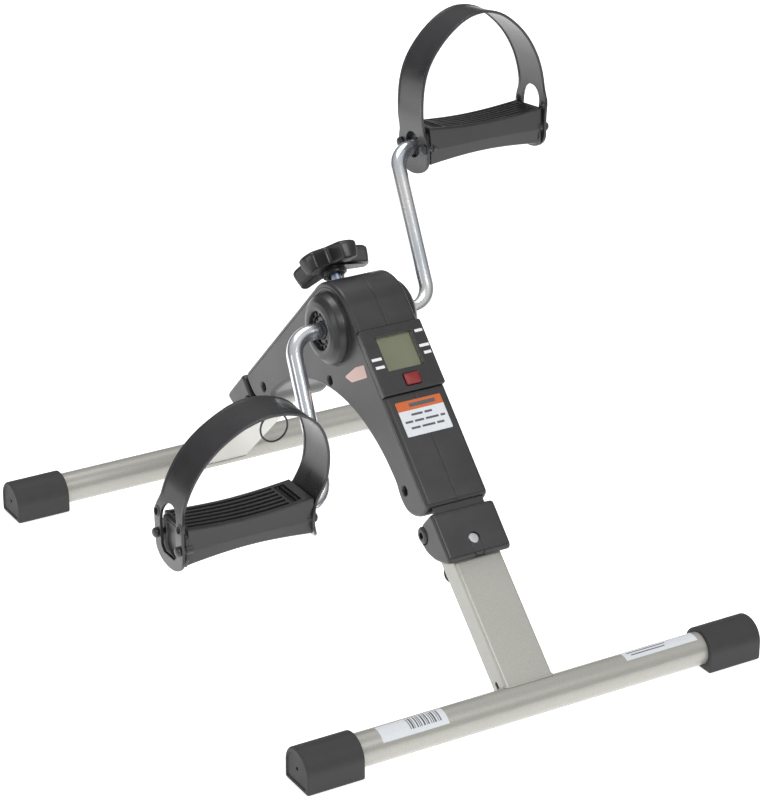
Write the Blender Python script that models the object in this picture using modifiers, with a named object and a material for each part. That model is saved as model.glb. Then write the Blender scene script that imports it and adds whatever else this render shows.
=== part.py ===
"""Folding pedal exerciser: an A-frame floor stand with a bent-rod crank, two strapped pedals,
a screw-tensioned friction brake, a small display and two fold-under legs with spring lock pins.

Frame: origin on the floor under the centre of the crank axis, +Z up, X along the crank axis
(-X is the user's left), -Y the user's side, called the front. Sizes below are in millimetres;
the scene is in metres.
"""
import math

import bmesh
import bpy
from mathutils import Matrix, Vector

MM = 0.001
FRONT, REAR = -1, 1
ENDS = (("front", FRONT), ("rear", REAR))

# ---------------------------------------------------------------- driving dimensions (mm)
# "Down" runs down an arm or a leg and "out" along its outward normal, both from the origin.
GAP = 0.3                   # clearance between mating pieces

# Base tubes and foot caps
BASE_WIDTH = 390.0          # over the foot caps
BASE_SPACING = 491.6        # between the two base tubes' axes
BASE_HALF_L = 190.0
BASE_TUBE_R = 12.7
BASE_TUBE_Z = 14.6
CAP_LENGTH = 46.1
CAP_HALF_W = 33.7 / 2

# Housing
AXIS_Z = 223.0              # height of the crank axis
ARM_ANGLE = 44.68           # slope of the housing's arms below the horizontal
ARM_COS = math.cos(math.radians(ARM_ANGLE))
ARM_SIN = math.sin(math.radians(ARM_ANGLE))
ARM_FACE = 194.04           # outer face of an arm
AXIS_DOWN = -AXIS_Z * ARM_SIN
DOME_R = ARM_FACE - AXIS_Z * ARM_COS
HOUSING_HALF_W = 26.3
WALL = 2.5
ARCH_R = 137.0
ARCH_Z = 33.8
ARCH_END_Y = 91.0

# Legs and hinge brackets
LEG_ANGLE = 43.4            # slope of the legs
LEG_COS = math.cos(math.radians(LEG_ANGLE))
LEG_SIN = math.sin(math.radians(LEG_ANGLE))
LEG_HALF_W = 40.7 / 2
LEG_T = 19.6
LEG_FACE = 187.5            # outer face of a leg
LEG_WALL = 1.6
LEG_TOP = 10.7              # leg above its pivot
PIVOT_Y, PIVOT_Z = 137.0, 106.5
PIVOT_DOWN = PIVOT_Y * LEG_COS - PIVOT_Z * LEG_SIN
PIVOT_OUT = PIVOT_Y * LEG_SIN + PIVOT_Z * LEG_COS
BOLT_R = 4.0
BOLT_BORE_R = BOLT_R + 0.35
BOLT_SEAT_X = 24.9          # undersides of the bolt head and the nut
BOLT_OUTER_X = 28.4         # outer faces of the bolt head and the nut
COVER_HALF_W = 27.0
EAR_T = 4.3

# Lock pins
PIN_DOWN = 44.3             # pin axis along the leg
PIN_R = 4.2
PIN_BORE_R = PIN_R + 0.45
PIN_TIP = 164.8 * LEG_SIN + 109.8 * LEG_COS     # level with the point y 164.8, z 109.8
SLOT_TRAVEL = 8.6
RING_OUT = 164.4            # hole for the pull ring, near the inner end of the pin
RING_R = 12.6

# Crank
ROD_R = 6.35
SHAFT_BORE_R = 6.8          # pieces that fit closely on the rod
CRANK_THROW = 131.0
CRANK_ANGLE = 42.7          # left crank, from straight down towards the user
HUB_CORNER_X = 61.5
PEDAL_CORNER_X = 81.5
BEND_R = 20.0
SPINDLE_END_X = 201.5
DRUM_R = 14.5
DRUM_HALF_W = 8.5

# Pedals
PEDAL_X = 156.5             # middle of a pedal
PEDAL_HALF_L = 101.5 / 2
PEDAL_W = 38.8
PEDAL_TOP = 17.0
PEDAL_BOTTOM = -12.8
PEDAL_DISH = 3.0            # hollow of the top edge
PEDAL_ARCH = 3.6            # rise of the bottom edge
RIGHT_PEDAL_TILT = -6.2
GROOVES = 5
GROOVE_MARGIN = 6.2
PEG_Y, PEG_Z = 18.0, 1.0
PEDAL_BORE_R = 6.95
NUT_POCKET_R = 9.9
STRAP_T = 2.2
STRAP_W = 44.6

# Tension screw and knob
TENSION_DOWN = 11.3         # screw axis, down the rear arm from the crank axis
KNOB_R = 31.5
KNOB_WAIST_R = 12.5
KNOB_T = 14.5
KNOB_MID = 56.75            # middle of the knob, out from the crank axis
KNOB_PHASE = -20.8

# ---------------------------------------------------------------- scene and materials
for old in list(bpy.data.objects):
    bpy.data.objects.remove(old, do_unlink=True)

PARTS = bpy.data.collections.new("pedal_exerciser")
CUTTERS = bpy.data.collections.new("cutters")
bpy.context.scene.collection.children.link(PARTS)
bpy.context.scene.collection.children.link(CUTTERS)

FINISH = {
    # name: (colour, roughness, metallic)
    "black_abs": ((0.055, 0.055, 0.058), 0.45, 0.0),
    "black_nylon": ((0.040, 0.040, 0.042), 0.50, 0.0),
    "black_pvc": ((0.050, 0.050, 0.052), 0.38, 0.0),
    "cap_rubber": ((0.045, 0.045, 0.047), 0.60, 0.0),
    "grey_paint": ((0.46, 0.45, 0.41), 0.42, 0.15),
    "black_paint": ((0.035, 0.035, 0.037), 0.40, 0.0),
    "zinc": ((0.75, 0.77, 0.80), 0.22, 1.0),
    "blue_zinc": ((0.55, 0.62, 0.72), 0.30, 1.0),
    "steel": ((0.50, 0.50, 0.50), 0.40, 1.0),
    "bronze": ((0.42, 0.28, 0.12), 0.40, 1.0),
    "lcd": ((0.22, 0.22, 0.14), 0.35, 0.0),
    "lens": ((0.70, 0.72, 0.66), 0.08, 0.0),
    "pcb": ((0.03, 0.18, 0.07), 0.45, 0.0),
    "cell": ((0.62, 0.62, 0.60), 0.25, 1.0),
    "red_abs": ((0.40, 0.03, 0.03), 0.40, 0.0),
    "friction": ((0.16, 0.13, 0.10), 0.80, 0.0),
    "magnet": ((0.25, 0.25, 0.26), 0.30, 1.0),
    "wire": ((0.02, 0.02, 0.02), 0.50, 0.0),
    "sensor": ((0.60, 0.55, 0.45), 0.35, 0.0),
}


def material(piece_name, finish):
    """Make one piece its own Principled material."""
    colour, roughness, metallic = FINISH[finish]
    made = bpy.data.materials.new(piece_name + "_" + finish)
    made.use_nodes = True
    inputs = made.node_tree.nodes["Principled BSDF"].inputs
    inputs["Base Color"].default_value = (*colour, 1.0)
    inputs["Roughness"].default_value = roughness
    inputs["Metallic"].default_value = metallic
    return made


# ---------------------------------------------------------------- places on the arms and legs
def arm(down, out, end, x=0.0):
    """Point on a housing arm; end is FRONT or REAR."""
    return Vector((x, end * (down * ARM_COS + out * ARM_SIN), out * ARM_COS - down * ARM_SIN))


def leg(down, out, end, x=0.0):
    """The same for a leg, whose slope differs slightly."""
    return Vector((x, end * (down * LEG_COS + out * LEG_SIN), out * LEG_COS - down * LEG_SIN))


def side_view(member, points, end):
    """(y, z) of (down, out) points; member is the function arm or leg."""
    places = [member(down, out, end) for down, out in points]
    return [(place.y, place.z) for place in places]


def member_frame(end, cosine, sine):
    """Rotation with columns: across, down the member, outward normal."""
    down = Vector((0, end * cosine, -sine))
    out = Vector((0, end * sine, cosine))
    return Matrix((down.cross(out), down, out)).transposed()


ARM_FRAMES = {end: member_frame(end, ARM_COS, ARM_SIN) for end in (FRONT, REAR)}
LEG_FRAMES = {end: member_frame(end, LEG_COS, LEG_SIN) for end in (FRONT, REAR)}

AXIS = Vector((0, 0, AXIS_Z))
REAR_TURN = Matrix(((1, 0, 0), (0, ARM_COS, ARM_SIN), (0, -ARM_SIN, ARM_COS)))
FRONT_DOWN = Vector((0, -ARM_COS, -ARM_SIN))
FRONT_OUT = Vector((0, -ARM_SIN, ARM_COS))


def on_tension_axis(out):
    """Point on the tension screw's axis; out is measured from the crank axis."""
    return AXIS + TENSION_DOWN * REAR_TURN.col[1] + out * REAR_TURN.col[2]


def arc(centre, radius, start, stop, steps):
    """Points along an arc, angles in degrees."""
    angles = [math.radians(start + (stop - start) * i / steps) for i in range(steps + 1)]
    return [(centre[0] + radius * math.cos(a), centre[1] + radius * math.sin(a)) for a in angles]


# ---------------------------------------------------------------- building tools
def outward(shape):
    """Turn every face of a closed body outwards."""
    bmesh.ops.recalc_face_normals(shape, faces=shape.faces)
    if shape.calc_volume(signed=True) < 0:
        bmesh.ops.reverse_faces(shape, faces=shape.faces)


def new_object(name, shape):
    outward(shape)
    mesh = bpy.data.meshes.new(name)
    shape.to_mesh(mesh)
    shape.free()
    piece = bpy.data.objects.new(name, mesh)
    CUTTERS.objects.link(piece)
    return piece


def aim(origin, direction):
    """Matrix that stands local Z along a direction at an origin (mm)."""
    turn = direction.to_track_quat("Z", "Y").to_matrix().to_4x4()
    return Matrix.Translation(origin * MM) @ turn


def box(name, x, y, z, rotation=Matrix.Identity(3), origin=(0, 0, 0)):
    """A block given by its x, y and z ranges, in a rotated frame if one is given."""
    low, high = (Vector(corner) for corner in zip(sorted(x), sorted(y), sorted(z)))
    size, middle = high - low, (high + low) / 2
    shape = bmesh.new()
    bmesh.ops.create_cube(shape, size=1.0)
    for vert in shape.verts:
        unit = vert.co
        point = Vector((unit.x * size.x, unit.y * size.y, unit.z * size.z)) + middle
        vert.co = (rotation @ point) * MM + Vector(origin) * MM
    return new_object(name, shape)


def slab(name, x, down, out, end, frames=ARM_FRAMES):
    """A block given by its x, down and out ranges on an arm or a leg."""
    return box(name, (end * x[0], end * x[1]), down, out, frames[end])


def rod(name, radius, start, stop, segments):
    """A round bar between two points."""
    start, stop = Vector(start), Vector(stop)
    run = stop - start
    shape = bmesh.new()
    bmesh.ops.create_cone(shape, cap_ends=True, segments=segments, radius1=radius * MM,
                          radius2=radius * MM, depth=run.length * MM,
                          matrix=aim((start + stop) / 2, run))
    return new_object(name, shape)


def rod_x(name, radius, x_start, x_stop, centre, segments):
    """A round bar along X, centred on (y, z)."""
    return rod(name, radius, (x_start, *centre), (x_stop, *centre), segments)


def tension_rod(name, radius, start, stop, segments):
    """A round bar on the tension screw's axis."""
    return rod(name, radius, on_tension_axis(start), on_tension_axis(stop), segments)


def temporary(data):
    holder = bpy.data.objects.new("temporary", data)
    CUTTERS.objects.link(holder)
    return holder


def bake(holder, merge):
    """Turn a temporary object into a bmesh, merging points closer than merge (metres)."""
    bpy.context.view_layer.update()
    evaluated = holder.evaluated_get(bpy.context.evaluated_depsgraph_get())
    mesh = bpy.data.meshes.new_from_object(evaluated)
    matrix = holder.matrix_world.copy()
    bpy.data.objects.remove(holder, do_unlink=True)
    shape = bmesh.new()
    shape.from_mesh(mesh)
    bpy.data.meshes.remove(mesh)
    bmesh.ops.remove_doubles(shape, verts=shape.verts, dist=merge)
    shape.transform(matrix)
    return shape


def turned(name, profile, origin, axis, steps):
    """A turned piece from a closed profile of (distance along the axis, radius) pairs."""
    points = [(radius * MM, 0.0, along * MM) for along, radius in profile]
    count = len(points)
    edges = [(i, (i + 1) % count) for i in range(count)]
    # an edge lying on the axis would sweep no surface
    edges = [(i, j) for i, j in edges if points[i][0] > 0 or points[j][0] > 0]
    mesh = bpy.data.meshes.new("profile")
    mesh.from_pydata(points, edges, [])
    holder = temporary(mesh)
    screw = holder.modifiers.new("turn", "SCREW")
    screw.steps = steps
    screw.render_steps = steps
    screw.use_merge_vertices = True
    screw.merge_threshold = 0.00001
    screw.use_smooth_shade = True
    shape = bake(holder, merge=0.000005)
    shape.transform(aim(Vector(origin), Vector(axis)))
    return new_object(name, shape)


def poly_curve(points, dimensions, cyclic):
    curve = bpy.data.curves.new("path", "CURVE")
    curve.dimensions = dimensions
    spline = curve.splines.new("POLY")
    spline.points.add(len(points) - 1)
    for target, (x, y, z) in zip(spline.points, points):
        target.co = (x * MM, y * MM, z * MM, 1)
    spline.use_cyclic_u = cyclic
    return curve


def flat(name, outline, thickness, matrix):
    """A flat outline extruded by a thickness, centred on the matrix's plane."""
    curve = poly_curve([(x, y, 0) for x, y in outline], "2D", True)
    curve.fill_mode = "BOTH"
    curve.extrude = thickness / 2 * MM
    holder = temporary(curve)
    holder.matrix_world = matrix
    return new_object(name, bake(holder, merge=0.00001))


# outline in y, z; thickness along x
YZ_PLANE = Matrix(((0, 0, 1, 0), (1, 0, 0, 0), (0, 1, 0, 0), (0, 0, 0, 1)))
# outline in x, z; thickness along y
XZ_PLANE = Matrix(((1, 0, 0, 0), (0, 0, -1, 0), (0, 1, 0, 0), (0, 0, 0, 1)))


def profile_x(name, outline, *x_range):
    """A (y, z) outline extruded along X between two places."""
    low, high = sorted(x_range)
    middle = Matrix.Translation(((low + high) / 2 * MM, 0, 0))
    return flat(name, outline, high - low, middle @ YZ_PLANE)


def wire(name, points, radius, cyclic=False, resolution=0):
    """A rod or wire along a path of points."""
    curve = poly_curve(points, "3D", cyclic)
    curve.bevel_depth = radius * MM
    curve.bevel_resolution = resolution
    curve.use_fill_caps = not cyclic
    return new_object(name, bake(temporary(curve), merge=0.00001))


def boolean(piece, tools, operation):
    for tool in tools:
        modifier = piece.modifiers.new(operation.lower(), "BOOLEAN")
        modifier.operation = operation
        modifier.object = tool
        modifier.solver = "EXACT"
        tool.hide_render = True
        tool.display_type = "WIRE"


def cut(piece, *tools):
    boolean(piece, tools, "DIFFERENCE")


def join(piece, *tools):
    boolean(piece, tools, "UNION")


def pivot(name, place):
    """An empty on a joint's axis, which the moving pieces hang from."""
    empty = bpy.data.objects.new(name, None)
    empty.location = Vector(place) * MM
    empty.empty_display_size = 0.02
    PARTS.objects.link(empty)
    bpy.context.view_layer.update()


def part(piece, finish, body=None, sharp=35):
    """Move a finished piece to the parts, give it its material and hang it on its pivot."""
    CUTTERS.objects.unlink(piece)
    PARTS.objects.link(piece)
    piece.data.materials.append(material(piece.name, finish))
    piece.data.shade_smooth()
    piece.data.set_sharp_from_angle(angle=math.radians(sharp))
    if body:
        empty = bpy.data.objects[body]
        piece.parent = empty
        piece.matrix_parent_inverse = empty.matrix_world.inverted()


# ---------------------------------------------------------------- joint pivots
crank_tilt = math.radians(CRANK_ANGLE)
CRANK_DIRECTION = Vector((0, -math.sin(crank_tilt), -math.cos(crank_tilt)))
LEFT_SPINDLE = AXIS + CRANK_THROW * CRANK_DIRECTION
RIGHT_SPINDLE = AXIS - CRANK_THROW * CRANK_DIRECTION
# name, sign of x, pedal spindle axis
SIDES = (("left", -1, LEFT_SPINDLE), ("right", 1, RIGHT_SPINDLE))

pivot("crank_pivot", AXIS)
for name, side, spindle in SIDES:
    pivot(name + "_pedal_pivot", (side * PEDAL_X, spindle.y, spindle.z))
pivot("brake_slide", on_tension_axis(16))
pivot("knob_pivot", on_tension_axis(56))
pivot("button_slide", arm(AXIS_DOWN + 66.5, 196.0, FRONT, 1.0))
for name, end in ENDS:
    pivot(name + "_leg_pivot", (0, end * PIVOT_Y, PIVOT_Z))
    pivot(name + "_pin_slide", leg(PIN_DOWN, 175, end))
    pivot(name + "_ring_pivot", leg(PIN_DOWN, RING_OUT, end))

# ---------------------------------------------------------------- housing shells
# Round boss about the crank axis: (distance from the middle, radius)
BOSS = [(25.0, 8.2), (25.0, 27.8), (29.6, 27.8), (33.0, 26.4), (36.4, 22.4), (37.9, 18.6),
        (37.6, 15.4), (31.0, 14.0), (30.2, 8.2)]
# Shell screws: name, (y, z)
SCREWS = (("front", (-109.6, 131.5)), ("middle", (2.7, 178.6)), ("rear", (112.0, 131.5)))
# Shell screw: (x, radius), head on the left
SCREW_PROFILE = [(-22.6, 0.0), (-22.6, 3.4), (-20.6, 3.4), (-20.6, 1.6), (20.0, 1.6), (20.0, 0.0)]


def housing_outline(inset):
    """Side view: dome, two arms with rounded ends, and the arch between them, all drawn in."""
    # rounded end of an arm: (down, out)
    tip = [(8.7 - inset, ARM_FACE - inset), (10.7 - inset, 187.8 - 0.3 * inset),
           (9.9 - inset, 177.3), (5.3 - 0.8 * inset, 167.4 + 0.6 * inset),
           (-0.5 - 0.5 * inset, 161.7 + 0.9 * inset), (-6.7, 159.4 + inset),
           (-15.0, 159.0 + inset), (-24.5, 161.0 + inset)]
    arch_r = ARCH_R + inset
    spread = math.degrees(math.asin(ARCH_END_Y / arch_r))
    return (arc((0, AXIS_Z), DOME_R - inset, 90 + ARM_ANGLE, 90 - ARM_ANGLE, 10)
            + side_view(arm, tip, REAR)
            + arc((0, ARCH_Z), arch_r, 90 - spread, 90 + spread, 10)
            + side_view(arm, reversed(tip), FRONT))


def half_shell(name, side):
    shell = profile_x(name, housing_outline(0), side * HOUSING_HALF_W, side * GAP / 2)
    # the cavity runs 1 mm past the middle to open the joint face
    cut(shell, profile_x(name + "_cavity", housing_outline(WALL),
                         side * (HOUSING_HALF_W - WALL), -side * 1.0))
    join(shell, turned(name + "_boss", BOSS, AXIS, (side, 0, 0), 20))
    cut(shell,
        rod_x(name + "_bore", 8.0, side * 20, side * 40, (0, AXIS_Z), 20),
        slab(name + "_window", (-40, 40), (AXIS_DOWN + 21, AXIS_DOWN + 76), (191.0, 200), FRONT),
        tension_rod(name + "_stem_hole", 5.6, 28, 40, 20))
    for end in (FRONT, REAR):
        cut(shell, slab(f"{name}_neck{end}", (-22.2, 22.2), (-30, 20), (187.0, 191.6), end))
    if side < 0:
        for _, centre in SCREWS:
            cut(shell, rod_x(name + "_recess", 4.4, side * 20, side * 30, centre, 10))
    part(shell, "black_abs")


half_shell("left_shell", -1)
half_shell("right_shell", 1)
for name, centre in SCREWS:
    part(turned("shell_screw_" + name, SCREW_PROFILE, (0, *centre), (1, 0, 0), 8), "zinc")

# ---------------------------------------------------------------- steel frame inside the housing
FRAME_X = (-18, 18)
FRAME_DOWN = (AXIS_DOWN + 22.0, -45)
FRAME_OUT = (163.6, 179)
# Foot of a gusset on the front arm: (down, out)
GUSSET_FOOT = [(-100, 165.0), (-100, 177.6)]
# Bearing: (distance from the middle, radius), flange at the inner end
BEARING = [(11.0, 6.9), (11.0, 12.4), (12.4, 12.4), (12.4, 9.45), (23.3, 9.45), (23.3, 6.9)]


def inner_frame():
    """Two arms tied together by gussets, bearing tubes and a bridge under the tension nut."""
    piece = slab("inner_frame", FRAME_X, FRAME_DOWN, FRAME_OUT, FRONT)
    join(piece, slab("rear_arm", FRAME_X, FRAME_DOWN, FRAME_OUT, REAR))
    for end in (FRONT, REAR):
        join(piece, slab(f"arm_end{end}", (-17.4, 17.4), (-50, -2), (175.5, 187.0), end))
    gusset = side_view(arm, GUSSET_FOOT, FRONT)
    gusset += arc((0, AXIS_Z), 26.0, 90 + ARM_ANGLE + 10, 90 - ARM_ANGLE - 10, 8)
    gusset += side_view(arm, reversed(GUSSET_FOOT), REAR)
    gusset += [(38.0, 191.5), (0, 206.0), (-38.0, 191.5)]
    sides = (("l", -1), ("r", 1))
    for letter, side in sides:
        join(piece, profile_x("gusset_" + letter, gusset, side * 13.5, side * 17.5))
    for letter, side in sides:
        ends = sorted((side * 12.7, side * 23.4))
        join(piece, rod_x("bearing_tube_" + letter, 13.0, *ends, (0, AXIS_Z), 20))
    join(piece, box("nut_bridge", (-17.0, 17.0), (TENSION_DOWN - 8, TENSION_DOWN + 8),
                    (23.5, 26.0), REAR_TURN, AXIS))
    cut(piece, rod_x("bearing_bore", 9.8, -30, 30, (0, AXIS_Z), 20),
        tension_rod("bridge_hole", 4.7, 21, 29, 12))
    part(piece, "steel")


inner_frame()
for name, side, _ in SIDES:
    part(turned(name + "_bearing", BEARING, AXIS, (side, 0, 0), 20), "bronze")

# ---------------------------------------------------------------- display console
# Distances down the front arm from the crank axis
LCD_START, LCD_STOP = 29.0, 57.0


def console_slab(name, x, start, stop, *out):
    """A block on the front arm, placed down it from the crank axis."""
    return slab(name, x, (AXIS_DOWN + start, AXIS_DOWN + stop), out, FRONT)


bezel = console_slab("console_bezel", (-26.7, 26.7), 21.3, 75.7, 191.3, 197.0)
cut(bezel,
    console_slab("lcd_pocket", (-18, 18), LCD_START - 2.5, LCD_STOP + 2.0, 190, 195.4),
    console_slab("lcd_opening", (-14.8, 15.4), LCD_START, LCD_STOP, 190, 199),
    console_slab("button_opening", (-5.6, 7.8), 61.6, 71.4, 190, 199),
    console_slab("button_travel", (-7.0, 9.2), 60.2, 72.8, 190, 194.0))
part(bezel, "black_abs")
part(console_slab("lcd_window", (-17.6, 17.6), LCD_START - 2.1, LCD_STOP + 1.6, 194.0, 195.1),
     "lens")
part(console_slab("lcd_display", (-17.2, 17.2), LCD_START - 1.8, LCD_STOP + 1.4, 191.8, 193.6),
     "lcd")
part(console_slab("circuit_board", (-20, 20), 24, 73, 188.7, 190.3), "pcb")
part(rod("button_cell", 5.8, arm(AXIS_DOWN + 45, 182.6, FRONT, -8),
         arm(AXIS_DOWN + 45, 188.2, FRONT, -8), 24), "cell")

button = console_slab("mode_button", (-5.2, 7.4), 62.0, 71.0, 193.2, 198.6)
join(button, console_slab("button_flange", (-6.6, 8.8), 60.6, 72.4, 192.2, 193.5))
part(button, "red_abs", "button_slide")

# speed sensor beside the drum, and its lead up to the circuit board
SENSOR = Vector((-10.2, 0, AXIS_Z)) + 23.0 * FRONT_OUT
part(rod("speed_sensor", 1.6, SENSOR + Vector((-2.6, 0, 0)), SENSOR + Vector((7, 0, 0)), 12),
     "sensor")
# end of the lead: (down from the crank axis, x)
LEAD_END = [(10, -11), (20, -11.5), (30, -11.5)]
lead = [SENSOR + 2.0 * FRONT_OUT, SENSOR + 5.8 * FRONT_OUT]
lead += [arm(AXIS_DOWN + down, 187.2, FRONT, x) for down, x in LEAD_END]
part(wire("sensor_lead", lead, 0.9), "wire")


# ---------------------------------------------------------------- crank
def rounded(points, radius, steps=6):
    """Round the corners of a path with arcs."""
    path = [Vector(points[0])]
    for before, corner, after in zip(points, points[1:], points[2:]):
        corner = Vector(corner)
        back = (Vector(before) - corner).normalized()
        ahead = (Vector(after) - corner).normalized()
        half = back.angle(ahead) / 2
        setback = radius / math.tan(half)
        centre = corner + (back + ahead).normalized() * (radius / math.sin(half))
        start = corner + back * setback - centre
        stop = corner + ahead * setback - centre
        total = start.angle(stop)
        axis = start.cross(stop).normalized()
        for i in range(steps + 1):
            path.append(centre + Matrix.Rotation(total * i / steps, 3, axis) @ start)
    path.append(Vector(points[-1]))
    return path


left_yz, right_yz = LEFT_SPINDLE.yz, RIGHT_SPINDLE.yz
crank_path = rounded([(-SPINDLE_END_X, *left_yz), (-PEDAL_CORNER_X, *left_yz),
                      (-HUB_CORNER_X, 0, AXIS_Z), (HUB_CORNER_X, 0, AXIS_Z),
                      (PEDAL_CORNER_X, *right_yz), (SPINDLE_END_X, *right_yz)], BEND_R)
part(wire("crankshaft", crank_path, ROD_R, resolution=2), "zinc", "crank_pivot", 40)

# drum with a magnet let into its rim
drum = turned("brake_drum", [(-DRUM_HALF_W, SHAFT_BORE_R), (-DRUM_HALF_W, DRUM_R),
                             (DRUM_HALF_W, DRUM_R), (DRUM_HALF_W, SHAFT_BORE_R)],
              AXIS, (1, 0, 0), 32)
MAGNET = Vector((-6.0, 0, AXIS_Z)) + 14.0 * FRONT_DOWN
cut(drum, rod("magnet_pocket", 2.7, MAGNET - 3.2 * FRONT_DOWN, MAGNET + 3 * FRONT_DOWN, 12))
part(drum, "steel", "crank_pivot")
part(rod("sensor_magnet", 2.3, MAGNET - 2.8 * FRONT_DOWN, MAGNET + 0.2 * FRONT_DOWN, 12),
     "magnet", "crank_pivot")

# (distance from the middle, radius)
COLLAR = [(31.0, SHAFT_BORE_R), (31.0, 11.0), (34.6, 11.0), (34.6, SHAFT_BORE_R)]
# (distance beyond the spindle's end, radius)
SPINDLE_NUT = [(-5.0, SHAFT_BORE_R), (-5.0, 9.2), (1.6, 9.2), (2.6, 7.4), (2.6, 0.0), (0.4, 0.0),
               (0.4, SHAFT_BORE_R)]
for name, side, spindle in SIDES:
    part(turned(name + "_shaft_collar", COLLAR, AXIS, (side, 0, 0), 24),
         "black_nylon", "crank_pivot")
    nut_profile = [(SPINDLE_END_X + beyond, radius) for beyond, radius in SPINDLE_NUT]
    part(turned(name + "_spindle_nut", nut_profile, spindle, (side, 0, 0), 16),
         "steel", "crank_pivot")


# ---------------------------------------------------------------- pedals
def pedal_frame(side, tilt, spindle):
    """Frame of a pedal: local x runs outward from the machine, y to the rear, z up."""
    return (Matrix.Translation(spindle * MM) @ Matrix.Rotation(math.radians(tilt), 4, "X")
            @ Matrix.Diagonal((side, 1, 1, 1)))


PEDALS = (("left", pedal_frame(-1, 0.0, LEFT_SPINDLE)),
          ("right", pedal_frame(1, RIGHT_PEDAL_TILT, RIGHT_SPINDLE)))


def place(piece, frame):
    """Move a piece into its pedal's frame, keeping its faces pointing out."""
    shape = bmesh.new()
    shape.from_mesh(piece.data)
    shape.transform(frame)
    outward(shape)
    shape.to_mesh(piece.data)
    shape.free()
    return piece


def pedal_rod(name, radius, x_start, x_stop, centre, segments, frame):
    """A round bar along a pedal; x is measured from the pedal's middle."""
    return place(rod_x(name, radius, PEDAL_X + x_start, PEDAL_X + x_stop, centre, segments), frame)


def pedal_outline():
    """Pedal seen from the user's side: dished tread above, arched edge below."""
    half, length = PEDAL_HALF_L, 2 * PEDAL_HALF_L
    top = [(PEDAL_X - half + length * i / 6, PEDAL_TOP - PEDAL_DISH * math.sin(math.pi * i / 6))
           for i in range(7)]
    bottom = [(PEDAL_X + half - length * i / 6,
               PEDAL_BOTTOM + PEDAL_ARCH * math.sin(math.pi * i / 6)) for i in range(7)]
    return top + bottom


# End flange: (y, z)
FLANGE = [(-21.0, -6), (-21.0, 6), (-19.0, 9), (19.0, 9), (21.0, 6), (21.0, -6), (19.0, -9),
          (-19.0, -9)]


def pedal(name, frame):
    half = PEDAL_HALF_L
    piece = place(flat(name + "_pedal", pedal_outline(), PEDAL_W, XZ_PLANE), frame)
    # grooves of the tread
    for i in range(GROOVES):
        spread = PEDAL_W - 2 * GROOVE_MARGIN
        y = -PEDAL_W / 2 + GROOVE_MARGIN + i * spread / (GROOVES - 1)
        cut(piece, place(box("groove", (PEDAL_X - half + 9, PEDAL_X + half - 9),
                             (y - 1.3, y + 1.3), (11.4, 30)), frame))
    # spindle bore, and a pocket for the nut at the outer end
    nut_x = SPINDLE_END_X - PEDAL_X
    cut(piece,
        pedal_rod("spindle_bore", PEDAL_BORE_R, -half - 9, half + 9, (0, 0), 16, frame),
        pedal_rod("nut_pocket", NUT_POCKET_R, nut_x - 5.6, nut_x + 20, (0, 0), 16, frame))
    # pegs that hold the strap, at the inner (-1) and outer (1) ends
    for y in (-PEG_Y, PEG_Y):
        for tip in (-1, 1):
            join(piece, pedal_rod("peg", 2.2, tip * (half - 3), tip * (half + 5.6),
                                  (y, PEG_Z), 8, frame))
    for tip in (-1, 1):
        flange = profile_x("end_flange", FLANGE, PEDAL_X + tip * (half - 4), PEDAL_X + tip * half)
        join(piece, place(flange, frame))
        cut(piece, pedal_rod("end_bore", PEDAL_BORE_R if tip < 0 else NUT_POCKET_R,
                             tip * (half - 6), tip * (half + 4), (0, 0), 16, frame))
    part(piece, "black_nylon", name + "_pedal_pivot")


# (local x, radius)
END_CAP = [(205.0, 0.0), (205.0, 9.5), (207.6, 9.5), (208.4, 8.6), (208.4, 0.0)]
for name, frame in PEDALS:
    pedal(name, frame)
for name, frame in PEDALS:
    end_cap = turned(name + "_pedal_end_cap", END_CAP, (0, 0, 0), (1, 0, 0), 20)
    part(place(end_cap, frame), "black_nylon", name + "_pedal_pivot")

# ---------------------------------------------------------------- straps
# Middle line of each strap, inner end first: (x from the pedal's middle, z)
SPAN = PEDAL_HALF_L + 1.5
STRAP_LINES = {
    "left": [
        (-SPAN - 5.2, -18), (-SPAN - 1.4, -9.5), (-SPAN, -4), (-SPAN, 3), (-SPAN - 2.0, 9),
        (-64.8, 28), (-67.6, 46), (-66.0, 59), (-61.0, 71.5), (-52, 81), (-38, 87.3),
        (-20, 89.6), (-4, 86.6), (10, 80.5), (24, 71.5), (36, 60), (45.5, 45), (51.0, 31),
        (SPAN + 2.2, 16), (SPAN + 2.0, 0), (SPAN + 2.0, -20)],
    "right": [
        (-SPAN - 2.4, -20), (-SPAN - 0.6, -10), (-SPAN, -4), (-SPAN, 3), (-SPAN - 1.4, 9),
        (-58.4, 26), (-55.8, 50), (-49.6, 66.5), (-38.5, 81), (-25.0, 92.4), (-11.0, 99.6),
        (3, 101.4), (17.5, 97.6), (30.5, 88.2), (41.5, 75.5), (50.0, 59), (54.2, 42),
        (55.0, 26), (SPAN + 0.8, 10), (SPAN, 0), (SPAN, -18)],
}
# Corner cut from a strap plate's lower edge: (y, z), mirrored for the other side
VEE = [(30, -5), (30, -30), (8, -30), (8, -20.5), (22.2, -8)]
# Tall opening with a round top: (y, z)
TALL_OPENING = [(-9.0, -13.5), (9.0, -13.5), (12.5, -9.5), *arc((0, 17.5), 12.5, 0, 180, 6),
                (-12.5, -9.5)]


def ribbon(line, thickness):
    """Closed outline of a given thickness about a line."""
    last = len(line) - 1
    near, far = [], []
    for i, point in enumerate(line):
        run = (line[min(i + 1, last)] - line[max(i - 1, 0)]).normalized()
        normal = Vector((run.y, -run.x))
        near.append(point - normal * thickness / 2)
        far.append(point + normal * thickness / 2)
    return near + far[::-1]


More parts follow.
